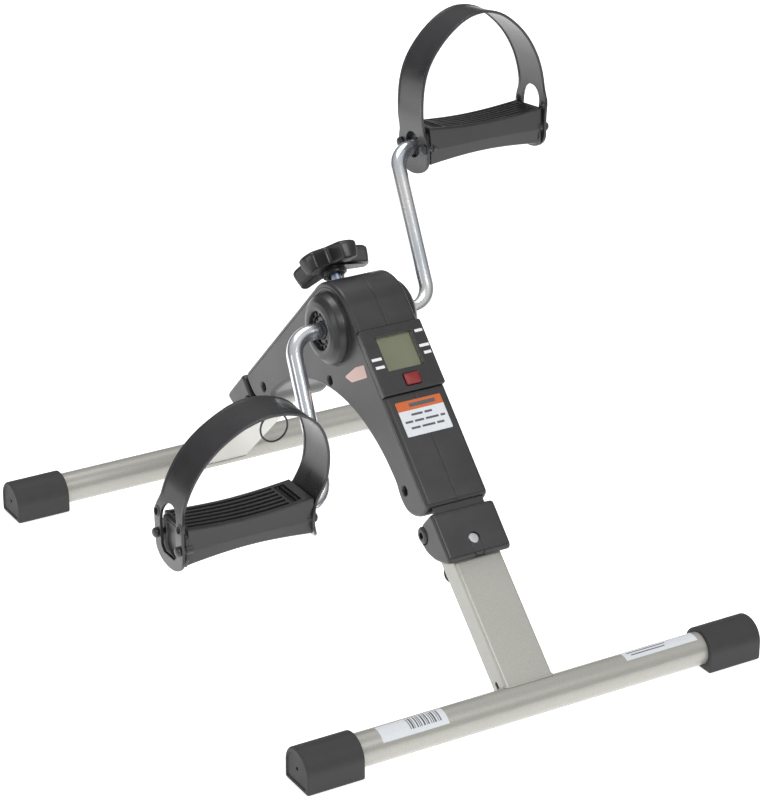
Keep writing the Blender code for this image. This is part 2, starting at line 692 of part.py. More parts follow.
def strap(name, frame):
    """One band arched over the pedal, its ends widened into plates that hook on the pegs."""
    line = [Vector((PEDAL_X + x, z)) for x, z in STRAP_LINES[name]]
    piece = place(flat(name + "_strap", ribbon(line, STRAP_T), STRAP_W, XZ_PLANE), frame)
    for edge in (-1, 1):
        cut(piece, place(box("band_side", (0, 320), (edge * 18.5, edge * 40), (22, 140)), frame))
        for tip in (-1, 1):
            middle = PEDAL_X + tip * 56
            vee = [(edge * y, z) for y, z in VEE]
            cut(piece, place(profile_x("vee", vee, middle - 12, middle + 12), frame))
            # the outer plate has a second, higher row of holes
            for z in (PEG_Z,) if tip < 0 else (PEG_Z, 18.0):
                cut(piece, pedal_rod("peg_hole", 2.8, tip * 44, tip * 72,
                                     (edge * PEG_Y, z), 8, frame))
    # tall opening at the outer end, round one for the spindle at the inner end
    cut(piece,
        place(profile_x("d_opening", TALL_OPENING, PEDAL_X + 43, PEDAL_X + 69), frame),
        pedal_rod("round_opening", 12.3, -72, -43, (0, 0.5), 20, frame))
    part(piece, "black_pvc", name + "_pedal_pivot", 40)


for name, frame in PEDALS:
    strap(name, frame)

# ---------------------------------------------------------------- brake, tension screw and knob
shoe = box("brake_shoe", (-8, 8), (0.5, 20.0), (8.0, 21.0), REAR_TURN, AXIS)
cut(shoe, rod_x("shoe_seat", 15.6, -12, 12, (0, AXIS_Z), 28))
part(shoe, "friction", "brake_slide")

tension_nut = tension_rod("tension_nut", 7.2, 26.3, 31.8, 6)
cut(tension_nut, tension_rod("nut_bore", 4.5, 20, 40, 12))
part(tension_nut, "zinc")
part(tension_rod("tension_screw", 4.0, 21.4, 52.2, 12), "blue_zinc", "knob_pivot")


def star(lobes, tip, waist, phase, steps=8):
    """Rounded points around a waist; the power sets how slim they are."""
    points = []
    for k in range(lobes):
        for i in range(steps):
            angle = 360.0 / lobes * (k + i / steps)
            rise = 0.5 + 0.5 * math.cos(math.radians(angle * lobes))
            radius = waist + (tip - waist) * rise ** 1.35
            turn = math.radians(angle + phase)
            points.append((radius * math.cos(turn), radius * math.sin(turn)))
    return points


knob_frame = Matrix.Translation(on_tension_axis(KNOB_MID) * MM) @ REAR_TURN.to_4x4()
knob = flat("tension_knob", star(5, KNOB_R, KNOB_WAIST_R, KNOB_PHASE), KNOB_T, knob_frame)
join(knob, tension_rod("knob_collar", 9.8, 43.4, 55.0, 16))
cut(knob, tension_rod("knob_bore", 4.4, 40, 52.8, 12))
part(knob, "black_nylon", "knob_pivot")

# ---------------------------------------------------------------- hinges
# Side view of the bracket's cover: (down, out) on the arm
COVER = [(14.5, 191.3), (16.0, 195.6), (50.8, 195.4), (54.5, 193.0), (52.0, 186.0),
         (44.0, 174.0), (35.5, 167.0), (27.6, 164.7), (21.0, 164.4), (17.2, 168.6), (15.0, 178.0)]
# Pivot bolt: (x, radius), head on the left
PIVOT_BOLT = [(-BOLT_OUTER_X, 0), (-BOLT_OUTER_X, 4.6), (-27.8, 6.6), (-BOLT_SEAT_X, 6.6),
              (-BOLT_SEAT_X, BOLT_R), (28.0, BOLT_R), (28.0, 0)]


def pivot_rod(name, radius, x_start, x_stop, segments, end):
    """A round bar on a leg's pivot axis."""
    return rod_x(name, radius, x_start, x_stop, (end * PIVOT_Y, PIVOT_Z), segments)


def pin_rod(name, radius, start, stop, segments, end, down=PIN_DOWN):
    """A round bar on a lock pin's axis, or parallel to it."""
    return rod(name, radius, leg(down, start, end), leg(down, stop, end), segments)


def hinge_bracket(name, end):
    """A U-shaped cover whose tongue is fastened inside the housing."""
    bracket = profile_x(name + "_hinge_bracket", side_view(arm, COVER, end),
                        -COVER_HALF_W, COVER_HALF_W)
    inner = COVER_HALF_W - EAR_T
    join(bracket, slab("tongue", (-21.6, 21.6), (-28, 20), (188.3, 191.2), end))
    cut(bracket,
        slab("bracket_hollow", (-inner, inner), (10, 80), (120, 188.5), end),
        slab("bracket_hollow2", (-inner, inner), (26, 80), (120, 190.6), end),
        pivot_rod("bolt_bore", BOLT_BORE_R, -40, 40, 12, end))
    for side in (-1, 1):
        cut(bracket, pivot_rod("bolt_recess", 7.6, side * 24.6, side * 40, 14, end))
    # slot the lock pin stands in
    slot_end = PIN_DOWN + SLOT_TRAVEL
    cut(bracket,
        pin_rod("slot_a", PIN_BORE_R, 184, 204, 12, end),
        pin_rod("slot_b", PIN_BORE_R, 184, 204, 12, end, slot_end),
        slab("slot_mid", (-PIN_BORE_R, PIN_BORE_R), (PIN_DOWN, slot_end), (184, 204), end,
             LEG_FRAMES))
    part(bracket, "black_paint")


def pivot_bolt(name, end):
    part(turned(name + "_pivot_bolt", PIVOT_BOLT, (0, end * PIVOT_Y, PIVOT_Z), (1, 0, 0), 12),
         "black_paint")
    nut = pivot_rod(name + "_pivot_nut", 6.8, BOLT_SEAT_X, BOLT_OUTER_X, 6, end)
    cut(nut, pivot_rod("pivot_nut_bore", BOLT_BORE_R, 0, 40, 12, end))
    part(nut, "zinc")


# ---------------------------------------------------------------- fold-under legs
def leg_tube(name, end, body):
    """Hollow rectangle, rounded at its upper outer corner, with a sleeve for the pivot bolt."""
    top_r = LEG_FACE - PIVOT_OUT
    inner_face = LEG_FACE - LEG_T
    outline = [(PIVOT_DOWN + top_r * math.sin(math.radians(angle)),
                PIVOT_OUT + top_r * math.cos(math.radians(angle))) for angle in (0, -13, -27, -40)]
    outline += [(PIVOT_DOWN - LEG_TOP, PIVOT_OUT + 9.5), (PIVOT_DOWN - LEG_TOP, inner_face),
                (170, inner_face), (170, LEG_FACE)]
    tube = profile_x(name + "_leg_tube", side_view(leg, outline, end), -LEG_HALF_W, LEG_HALF_W)
    hollow_x = LEG_HALF_W - LEG_WALL
    cut(tube, slab("leg_hollow", (-hollow_x, hollow_x), (-20, 200),
                   (inner_face + LEG_WALL, LEG_FACE - LEG_WALL), end, LEG_FRAMES))
    join(tube, pivot_rod("pivot_sleeve", 6.6, -LEG_HALF_W, LEG_HALF_W, 16, end))
    # foot shaped to the base tube, then bores for the bolt, the pin and the barrel
    cut(tube,
        rod_x("saddle", BASE_TUBE_R + GAP, -60, 60, (end * BASE_SPACING / 2, BASE_TUBE_Z), 28),
        box("leg_toe", (-60, 60), (end * (BASE_SPACING / 2 + 3.1), end * 300), (-60, 60)),
        pivot_rod("sleeve_bore", BOLT_BORE_R, -40, 40, 12, end),
        pin_rod("pin_bore", PIN_BORE_R, 176, 200, 12, end),
        pin_rod("barrel_hole", 6.3, 160, 176, 12, end))
    part(tube, "grey_paint", body)


def base_tube(name, end, body):
    inner_r = 11.3
    profile = [(-BASE_HALF_L, inner_r), (-BASE_HALF_L, BASE_TUBE_R),
               (BASE_HALF_L, BASE_TUBE_R), (BASE_HALF_L, inner_r)]
    part(turned(name + "_base_tube", profile, (0, end * BASE_SPACING / 2, BASE_TUBE_Z),
                (1, 0, 0), 28), "grey_paint", body)


def foot_cap(name, side, end, body):
    """Flat-bottomed cap with a slightly flattened round top and small lower chamfers."""
    centre_y, half = end * BASE_SPACING / 2, CAP_HALF_W
    centre = (centre_y, BASE_TUBE_Z)
    outline = [(y, 0.94 * z) for y, z in arc((0, 0), half, 0, 180, 12)]
    outline += [(-half, -BASE_TUBE_Z + 2.2), (-half + 1.6, -BASE_TUBE_Z),
                (half - 1.6, -BASE_TUBE_Z), (half, -BASE_TUBE_Z + 2.2)]
    outline = [(centre_y + y, BASE_TUBE_Z + z) for y, z in outline]
    outer_x = BASE_WIDTH / 2
    cap = profile_x(name + "_foot_cap", outline, side * (outer_x - CAP_LENGTH), side * outer_x)
    cut(cap,
        rod_x("cap_bore", BASE_TUBE_R + 0.25, side * 100, side * 190.6, centre, 28),
        rod_x("cap_vent", 1.5, side * 180, side * 210, centre, 8))
    part(cap, "cap_rubber", body)


# ---------------------------------------------------------------- lock pins
# Barrel that carries the pin, and the pin with its collar: (out, radius)
BARREL = [(166.4, 4.6), (166.4, 8.2), (167.5, 8.2), (167.5, 5.9), (172.0, 5.9), (172.0, 4.6)]
LOCK_PIN = [(RING_OUT - 2.8, 0), (RING_OUT - 2.8, 3.4), (RING_OUT - 2.0, PIN_R), (181.6, PIN_R),
            (181.6, 6.0), (183.4, 6.0), (183.4, PIN_R), (PIN_TIP - 0.7, PIN_R), (PIN_TIP, 3.5),
            (PIN_TIP, 0)]
SPRING_TURNS = 3
SPRING_R = 5.3
SPRING_START, SPRING_STOP = 173.2, 180.6


def pin_turned(name, profile, end):
    foot = leg(PIN_DOWN, 0, end)
    return turned(name, profile, foot, leg(PIN_DOWN, 1, end) - foot, 12)


def lock_pin(name, end):
    pin = pin_turned(name + "_lock_pin", LOCK_PIN, end)
    cut(pin, rod("ring_hole", 2.0, leg(PIN_DOWN, RING_OUT, end, -10),
                 leg(PIN_DOWN, RING_OUT, end, 10), 8))
    part(pin, "zinc", name + "_pin_slide")


def lock_spring(name, end, body):
    up = leg(PIN_DOWN, 1, end) - leg(PIN_DOWN, 0, end)
    across = up.orthogonal().normalized()
    other = up.cross(across)
    steps = SPRING_TURNS * 8
    coil = []
    for i in range(steps + 1):
        share = i / steps
        turn = 2 * math.pi * SPRING_TURNS * share
        middle = leg(PIN_DOWN, SPRING_START + (SPRING_STOP - SPRING_START) * share, end)
        coil.append(middle + SPRING_R * (math.cos(turn) * across + math.sin(turn) * other))
    part(wire(name + "_lock_spring", coil, 0.5), "steel", body)


def pull_ring(name, end):
    """A ring hanging from the hole in the pin."""
    centre = leg(PIN_DOWN, RING_OUT, end) + Vector((0, 0, -RING_R))
    turns = [2 * math.pi * i / 18 for i in range(18)]
    loop = [centre + RING_R * Vector((math.sin(turn), 0, math.cos(turn))) for turn in turns]
    part(wire(name + "_pull_ring", loop, 0.8, cyclic=True), "steel", name + "_ring_pivot")


for name, end in ENDS:
    body = name + "_leg_pivot"
    hinge_bracket(name, end)
    pivot_bolt(name, end)
    leg_tube(name, end, body)
    part(pin_turned(name + "_pin_barrel", BARREL, end), "zinc", body)
    base_tube(name, end, body)
    for side_name, side, _ in SIDES:
        foot_cap(name + "_" + side_name, side, end, body)
    lock_pin(name, end)
    lock_spring(name, end, body)
    pull_ring(name, end)
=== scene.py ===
"""Folding pedal exerciser: detailed meshes and materials built round its CAD pieces.

It stands on z = 0 with the crank axis along x: right is +x, the front is -y.
Lengths are millimetres until make() turns them into metres.
`end` is -1 at the front and 1 at the rear; `side` is -1 on the left and 1 on the right.
"""
import bpy
import bmesh
import math
import numpy as np
from mathutils import Matrix, Vector


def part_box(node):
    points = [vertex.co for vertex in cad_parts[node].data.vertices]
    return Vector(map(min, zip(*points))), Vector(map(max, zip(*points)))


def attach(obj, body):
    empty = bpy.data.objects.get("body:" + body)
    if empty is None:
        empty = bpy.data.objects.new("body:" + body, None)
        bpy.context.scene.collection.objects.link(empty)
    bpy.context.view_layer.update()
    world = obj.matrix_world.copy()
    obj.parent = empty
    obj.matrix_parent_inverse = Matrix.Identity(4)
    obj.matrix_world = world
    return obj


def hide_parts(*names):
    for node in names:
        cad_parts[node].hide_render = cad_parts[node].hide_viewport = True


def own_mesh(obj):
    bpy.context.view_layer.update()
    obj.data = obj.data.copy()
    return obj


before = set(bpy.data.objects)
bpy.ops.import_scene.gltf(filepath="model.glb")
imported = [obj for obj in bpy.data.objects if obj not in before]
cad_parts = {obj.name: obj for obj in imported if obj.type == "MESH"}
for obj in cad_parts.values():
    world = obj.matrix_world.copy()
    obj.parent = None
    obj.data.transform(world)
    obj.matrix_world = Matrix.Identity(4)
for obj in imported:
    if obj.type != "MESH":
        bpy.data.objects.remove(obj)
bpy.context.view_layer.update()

MM = 0.001
SIDES = (("left", -1), ("right", 1))
ENDS = (("front", -1), ("rear", 1))
rad = math.radians


def middle(node):
    low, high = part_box(node)
    return (low + high) / 2 / MM


def half_size(node):
    low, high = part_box(node)
    return (high - low) / 2 / MM


# ---------------------------------------------------------------- sizes read from the CAD
AXIS_Z = round(middle("brake_drum").z, 3)
BASE_Y = round((middle("rear_base_tube").y - middle("front_base_tube").y) / 2, 3)
TUBE_Z = round(middle("rear_base_tube").z, 3)
TUBE_R = round(half_size("rear_base_tube").z, 3)
BASE_HALF = round(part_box("front_right_foot_cap")[1].x / MM, 3)
CAP_LENGTH = round(2 * half_size("front_right_foot_cap").x, 3)
CAP_HALF = round(half_size("front_right_foot_cap").y, 3)
LEG_HALF = round(half_size("front_leg_tube").x, 3)
COVER_HALF = round(half_size("front_hinge_bracket").x, 3)
PEDAL_X = round(middle("right_pedal").x, 3)
SPINDLE = {name: middle(name + "_spindle_nut") for name, side in SIDES}

# ---------------------------------------------------------------- main sizes
SHELL_HALF = 26.3                       # housing's half width
SHELL_WALL = 2.5
ARM_ANGLE = 44.68                       # slope of the housing's arms
FACE_OUT = 194.04                       # the arms' outer face
LEG_ANGLE = 43.4
LEG_OUT, LEG_DEPTH, LEG_WALL = 187.5, 19.6, 1.6
PIVOT_Y, PIVOT_Z, PIVOT_R = 137.0, 106.5, 4.0
SPINDLE_END = 201.5
PIN_ALONG, PIN_R, RING_OUT = 44.3, 4.2, 164.4
PIN_HOLE_R = PIN_R + 0.45
KNOB_ALONG = 11.3                       # from the crank axis down the rear arm
SCREWS = (("front", -109.6, 131.5), ("middle", 2.7, 178.6), ("rear", 112.0, 131.5))

ARM_COS, ARM_SIN = math.cos(rad(ARM_ANGLE)), math.sin(rad(ARM_ANGLE))
LEG_COS, LEG_SIN = math.cos(rad(LEG_ANGLE)), math.sin(rad(LEG_ANGLE))
AXIS_ALONG = -AXIS_Z * ARM_SIN          # where the crank axis falls along an arm
DOME_R = FACE_OUT - AXIS_Z * ARM_COS
HUB = (0, 0, AXIS_Z)


# ---------------------------------------------------------------- places and planes
def arm(along, out, end, x=0.0):
    """A point given along an arm's slope and square out from it."""
    return Vector((x, end * (along * ARM_COS + out * ARM_SIN), out * ARM_COS - along * ARM_SIN))


def leg(along, out, end, x=0.0):
    return Vector((x, end * (along * LEG_COS + out * LEG_SIN), out * LEG_COS - along * LEG_SIN))


def on_leg(y, z):
    """The (along, out) of a place y outwards from the middle and z up."""
    return y * LEG_COS - z * LEG_SIN, y * LEG_SIN + z * LEG_COS


def knob_at(height):
    """A point on the knob's axis."""
    return Vector((0.0, KNOB_ALONG * ARM_COS + height * ARM_SIN,
                   AXIS_Z - KNOB_ALONG * ARM_SIN + height * ARM_COS))


def plane(first, second, normal, origin=(0, 0, 0)):
    """Matrix from an outline's two axes and its thickness axis to the frame."""
    matrix = Matrix.Identity(4)
    for column, vector in enumerate((first, second, normal, origin)):
        for row in range(3):
            matrix[row][column] = vector[row]
    return matrix


def side_plane(origin=(0, 0, 0)):
    """Outline in y, z; thickness along x."""
    return plane((0, 1, 0), (0, 0, 1), (1, 0, 0), origin)


def arm_plane(end, origin=(0, 0, 0)):
    """Outline in x, along; thickness out from the arm."""
    return plane((1, 0, 0), (0, end * ARM_COS, -ARM_SIN), (0, end * ARM_SIN, ARM_COS), origin)


def leg_plane(end):
    return plane((1, 0, 0), (0, end * LEG_COS, -LEG_SIN), (0, end * LEG_SIN, LEG_COS))


FLAT = Matrix.Identity(4)
SIDE_PLANE = side_plane()
FRONT_FACE = arm_plane(-1)


# ---------------------------------------------------------------- outlines
def quarter(steps):
    """Angles of a quarter turn."""
    return [math.pi / 2 * i / steps for i in range(steps + 1)]


def arc(x, y, radius, start, stop, steps):
    turns = [rad(start + (stop - start) * i / steps) for i in range(steps + 1)]
    return [(x + radius * math.cos(turn), y + radius * math.sin(turn)) for turn in turns]


def fillet(points, radii, steps=5, closed=True):
    """Round an outline's corners, by one radius or one for each point."""
    if not isinstance(radii, (list, tuple)):
        radii = [radii] * len(points)
    out, last = [], len(points) - 1
    for i, radius in enumerate(radii):
        corner = Vector(points[i])
        if (not closed and i in (0, last)) or radius <= 0:
            out.append((corner.x, corner.y))
            continue
        back = Vector(points[i - 1]) - corner
        ahead = Vector(points[(i + 1) % len(points)]) - corner
        room = (back.length * 0.48, ahead.length * 0.48)
        back.normalize()
        ahead.normalize()
        angle = back.angle(ahead)
        if angle > math.pi - 0.02:
            out.append((corner.x, corner.y))
            continue
        reach = min(radius / math.tan(angle / 2), *room)
        radius = reach * math.tan(angle / 2)
        centre = corner + (back + ahead).normalized() * (radius / math.sin(angle / 2))
        first, final = corner + back * reach - centre, corner + ahead * reach - centre
        start = math.atan2(first.y, first.x)
        sweep_angle = math.atan2(final.y, final.x) - start
        sweep_angle = (sweep_angle + math.pi) % (2 * math.pi) - math.pi
        for k in range(steps + 1):
            turn = start + sweep_angle * k / steps
            out.append((centre.x + radius * math.cos(turn), centre.y + radius * math.sin(turn)))
    return out


def rect(x0, x1, y0, y1, radii=0.0, steps=4):
    points = [(x0, y0), (x1, y0), (x1, y1), (x0, y1)]
    return fillet(points, radii, steps) if radii else points


def face_rect(x0, x1, down0, down1, radii=0.0, steps=4):
    """A rectangle on the front arm, measured down it from the crank axis."""
    return rect(x0, x1, AXIS_ALONG + down0, AXIS_ALONG + down1, radii, steps)


def mirrored(half):
    """A closed outline from the points of its right half."""
    return [(-x, y) for x, y in half] + half[::-1]


def yz(point):
    return point.y, point.z


def spline(points, steps):
    """A smooth open curve through points, parametrised by the root of their spacing."""
    known = [np.array(p, float) for p in points]
    known = [2 * known[0] - known[1]] + known + [2 * known[-1] - known[-2]]
    out = []
    for p0, p1, p2, p3 in zip(known, known[1:], known[2:], known[3:]):
        span0, span1, span2 = (np.linalg.norm(b - a) ** 0.5
                               for a, b in ((p0, p1), (p1, p2), (p2, p3)))
        slope1 = ((p1 - p0) / span0 - (p2 - p0) / (span0 + span1) + (p2 - p1) / span1) * span1
        slope2 = ((p2 - p1) / span1 - (p3 - p1) / (span1 + span2) + (p3 - p2) / span2) * span1
        for k in range(steps):
            t = k / steps
            out.append(tuple((2 * t ** 3 - 3 * t * t + 1) * p1
                             + (t ** 3 - 2 * t * t + t) * slope1
                             + (-2 * t ** 3 + 3 * t * t) * p2 + (t ** 3 - t * t) * slope2))
    out.append(tuple(known[-2]))
    return out


def inset(points, depth):
    """The outline drawn in by a depth, whichever way round it runs."""
    following = points[1:] + points[:1]
    area = sum(a[0] * b[1] - b[0] * a[1] for a, b in zip(points, following))
    turn = 1 if area > 0 else -1
    out = []
    for i, place in enumerate(points):
        corner = Vector(place)
        before, after = corner - Vector(points[i - 1]), Vector(following[i]) - corner
        if before.length < 1e-6:
            before = after
        if after.length < 1e-6:
            after = before
        normal0 = Vector((-before.y, before.x)).normalized() * turn
        normal1 = Vector((-after.y, after.x)).normalized() * turn
        spread = max(0.35, 1 + normal0.dot(normal1))
        moved = corner + (normal0 + normal1) / spread * depth
        out.append((moved.x, moved.y))
    return out


# ---------------------------------------------------------------- meshes
SCENE = bpy.context.scene.collection


def make(verts, faces, matrix=FLAT):
    bm = bmesh.new()
    made = [bm.verts.new((matrix @ Vector(v)) * MM) for v in verts]
    for face in faces:
        bm.faces.new([made[i] for i in face])
    bmesh.ops.recalc_face_normals(bm, faces=bm.faces)
    if bm.calc_volume(signed=True) < 0:
        bmesh.ops.reverse_faces(bm, faces=bm.faces)
    mesh = bpy.data.meshes.new("piece")
    bm.to_mesh(mesh)
    bm.free()
    ob = bpy.data.objects.new("piece", mesh)
    SCENE.objects.link(ob)
    return ob


def loft(rings, matrix=FLAT, loop=False):
    """Skin rings of points; the ends are capped unless the rings form a loop."""
    size, count = len(rings[0]), len(rings)
    faces = []
    for i in range(count if loop else count - 1):
        j = (i + 1) % count
        for k in range(size):
            l = (k + 1) % size
            faces.append((i * size + k, i * size + l, j * size + l, j * size + k))
    if not loop:
        faces.append(tuple(reversed(range(size))))
        faces.append(tuple((count - 1) * size + k for k in range(size)))
    return make([point for ring in rings for point in ring], faces, matrix)


def stack(outline_at, stations, matrix):
    """Loft outline_at(depth) through (depth, thickness position) stations."""
    return loft([[Vector((a, b, level)) for a, b in outline_at(depth)]
                 for depth, level in stations], matrix)


def prism(outline, start, stop, matrix, round0=0.0, round1=0.0, steps=4):
    """An outline extruded, its edges rounded by round0 at the start and round1 at the stop."""
    way = 1 if stop > start else -1
    stations = [(0, start + way * round0)]
    if round0 > 0:
        stations = [(round0 * (1 - math.sin(turn)), start + way * round0 * (1 - math.cos(turn)))
                    for turn in quarter(steps)[:-1]] + stations
    if round1 > 0:
        stations += [(round1 * (1 - math.cos(turn)), stop - way * round1 * (1 - math.sin(turn)))
                     for turn in quarter(steps)]
    else:
        stations.append((0, stop))
    return stack(lambda depth: inset(outline, depth) if depth > 1e-6 else outline,
                 stations, matrix)


def across(axis):
    """The axis and two directions square to it, all of unit length."""
    axis = Vector(axis).normalized()
    first = axis.orthogonal().normalized()
    return axis, first, axis.cross(first)


def circle(centre, first, second, radius, segments):
    turns = [2 * math.pi * k / segments for k in range(segments)]
    return [centre + (first * math.cos(turn) + second * math.sin(turn)) * radius
            for turn in turns]


def revolve(profile, origin, axis, segments):
    """A turned piece from (height, radius) pairs; both ends on the axis, or a loop off it."""
    axis, first, second = across(axis)
    verts, rings, faces = [], [], []
    for height, radius in profile:
        centre = Vector(origin) + axis * height
        points = [centre] if radius <= 1e-6 else circle(centre, first, second, radius, segments)
        rings.append(range(len(verts), len(verts) + len(points)))
        verts += points
    if all(len(ring) > 1 for ring in rings):
        rings.append(rings[0])
    for near, far in zip(rings, rings[1:]):
        for k in range(segments):
            l = (k + 1) % segments
            if len(near) == 1:
                faces.append((near[0], far[l], far[k]))
            elif len(far) == 1:
                faces.append((near[k], near[l], far[0]))
            else:
                faces.append((near[k], near[l], far[l], far[k]))
    return make(verts, faces)


def rod(radius, start, stop, segments=32):
    axis = Vector(stop) - Vector(start)
    length = axis.length
    return revolve([(0, 0), (0, radius), (length, radius), (length, 0)], start, axis, segments)


def x_rod(radius, x0, x1, y, z, segments=32):
    return rod(radius, (x0, y, z), (x1, y, z), segments)


def knob_turned(profile, segments):
    return revolve(profile, knob_at(0), (0, ARM_SIN, ARM_COS), segments)


def sweep(path, radii, segments, cyclic=False):
    """A round wire along a path; one radius or one for each point."""
    path = [Vector(p) for p in path]
    count = len(path)
    if not isinstance(radii, list):
        radii = [radii] * count
    tangents = []
    for i, point in enumerate(path):
        before = path[i - 1] if cyclic or i > 0 else point
        after = path[(i + 1) % count] if cyclic or i < count - 1 else point
        tangents.append((after - before).normalized())
    normal = tangents[0].orthogonal().normalized()
    rings = []
    for i, tangent in enumerate(tangents):
        if i:
            hinge = tangents[i - 1].cross(tangent)
            if hinge.length > 1e-9:
                turn = tangents[i - 1].angle(tangent)
                normal = Matrix.Rotation(turn, 3, hinge.normalized()) @ normal
        normal = (normal - tangent * normal.dot(tangent)).normalized()
        rings.append(circle(path[i], normal, tangent.cross(normal), radii[i], segments))
    return loft(rings, loop=cyclic)


def annulus(radii, top, base, axis, segments):
    """A ring round the hub whose top height is a function of radius and angle."""
    axis, first, second = across(axis)
    turns = [2 * math.pi * k / segments for k in range(segments)]

    def ring(radius, height_at):
        return [Vector(HUB) + axis * height_at(radius, turn)
                + (first * math.cos(turn) + second * math.sin(turn)) * radius for turn in turns]
    rings = [ring(radius, top) for radius in radii]
    rings += [ring(radius, lambda radius, turn: base) for radius in (radii[-1], radii[0])]
    return loft(rings, loop=True)


def boolean(ob, tools, operation):
    for tool in tools:
        modifier = ob.modifiers.new("boolean", "BOOLEAN")
        modifier.operation = operation
        modifier.object = tool
        modifier.solver = "EXACT"
    bpy.context.view_layer.update()
    evaluated = ob.evaluated_get(bpy.context.evaluated_depsgraph_get())
    mesh = bpy.data.meshes.new_from_object(evaluated)
    ob.modifiers.clear()
    ob.data = mesh
    for tool in tools:
        bpy.data.objects.remove(tool, do_unlink=True)
    return ob


def cut(ob, *tools):
    return boolean(ob, tools, "DIFFERENCE")


def join(ob, *tools):
    return boolean(ob, tools, "UNION")


def merge(ob, *others):
    """Put several closed bodies into one object."""
    bm = bmesh.new()
    for body in (ob,) + others:
        bm.from_mesh(body.data)
    bm.to_mesh(ob.data)
    bm.free()
    for body in others:
        bpy.data.objects.remove(body, do_unlink=True)
    return ob


def place(ob, matrix):
    """Move a piece by a millimetre matrix, turning its faces if the matrix mirrors."""
    scaled = matrix.copy()
    for row in range(3):
        scaled[row][3] *= MM
    bm = bmesh.new()
    bm.from_mesh(ob.data)
    bm.transform(scaled)
    if scaled.to_3x3().determinant() < 0:
        bmesh.ops.reverse_faces(bm, faces=bm.faces)
    bm.to_mesh(ob.data)
    bm.free()
    return ob


def finish(ob, name, body, look, *replaced, sharp=32, weld=True):
    """Name, clean, shade and attach a piece to its body, hiding the CAD parts it replaces; look is
    (material, slot), and the slot is not used.
    """
    material, slot = look
    ob.name = name
    ob.data.name = name
    if weld:
        bm = bmesh.new()
        bm.from_mesh(ob.data)
        bmesh.ops.remove_doubles(bm, verts=bm.verts, dist=0.000002)
        bmesh.ops.dissolve_degenerate(bm, edges=bm.edges, dist=0.000001)
        bm.to_mesh(ob.data)
        bm.free()
    ob.data.materials.clear()
    ob.data.materials.append(material)
    ob.data.shade_smooth()
    ob.data.set_sharp_from_angle(angle=rad(sharp))
    modifier = ob.modifiers.new("wn", "WEIGHTED_NORMAL")
    modifier.keep_sharp = True
    modifier.weight = 50
    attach(ob, body)
    if replaced:
        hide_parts(*replaced)
    return ob


# ---------------------------------------------------------------- shader building
class Shader:
    """A material under construction, on coordinates fixed to the object."""

    def __init__(self, name):
        self.material = bpy.data.materials.new(name)
        self.material.use_nodes = True
        self.tree = self.material.node_tree
        self.tree.nodes.clear()
        self.output = self.node("ShaderNodeOutputMaterial")
        self.coords = self.node("ShaderNodeTexCoord").outputs["Object"]

    def node(self, kind, inputs=None, **settings):
        node = self.tree.nodes.new(kind)
        for key, value in settings.items():
            setattr(node, key, value)
        for key, value in (inputs or {}).items():
            socket = node.inputs[key]
            if isinstance(value, bpy.types.NodeSocket):
                self.tree.links.new(value, socket)
            else:
                socket.default_value = (*value, 1.0) if socket.type == "RGBA" else value
        return node

    def noise(self, scale, detail=3.0, rough=0.55, distort=0.0, stretch=None):
        vector = self.coords
        if stretch:
            vector = self.node("ShaderNodeMapping", {"Vector": vector, "Scale": stretch}).outputs[0]
        return self.node("ShaderNodeTexNoise", {
            "Vector": vector, "Scale": scale, "Detail": detail, "Roughness": rough,
            "Distortion": distort}).outputs["Fac"]

    def remap(self, value, within=(0.3, 0.7), to=(0.0, 1.0)):
        return self.node("ShaderNodeMapRange", {
            "Value": value, "From Min": within[0], "From Max": within[1],
            "To Min": to[0], "To Max": to[1]}).outputs[0]

    def math(self, operation, first, second):
        return self.node("ShaderNodeMath", {0: first, 1: second}, operation=operation).outputs[0]

    def mix(self, factor, first, second):
        return self.node("ShaderNodeMix", {0: factor, 6: first, 7: second},
                         data_type="RGBA").outputs[2]

    def bevel(self, radius, samples=3):
        """A normal that rounds the edges."""
        return self.node("ShaderNodeBevel", {"Radius": radius}, samples=samples).outputs[0]

    def edge_mask(self, rounded, amount=1.0):
        """A mask that reaches amount along sharp edges."""
        normal = self.node("ShaderNodeNewGeometry").outputs["Normal"]
        dot = self.node("ShaderNodeVectorMath", {0: rounded, 1: normal}, operation="DOT_PRODUCT")
        mask = self.remap(dot.outputs["Value"], within=(0.995, 0.80))
        return mask if amount == 1.0 else self.math("MULTIPLY", mask, amount)

    def bump(self, height, strength, distance, normal=None):
        inputs = {"Height": height, "Strength": strength, "Distance": distance}
        if normal is not None:
            inputs["Normal"] = normal
        return self.node("ShaderNodeBump", inputs).outputs[0]

    def principled(self, **inputs):
        """Close the material; base_color stands for the input Base Color, and so on."""
        named = {key.replace("_", " ").title().replace("Ior", "IOR"): value
                 for key, value in inputs.items()}
        return self.surface(self.node("ShaderNodeBsdfPrincipled", named))

    def surface(self, node):
        self.tree.links.new(node.outputs[0], self.output.inputs["Surface"])
        return self.material


def tint(color, factor, lift=0.0):
    return tuple(min(1.0, channel * factor + lift) for channel in color)


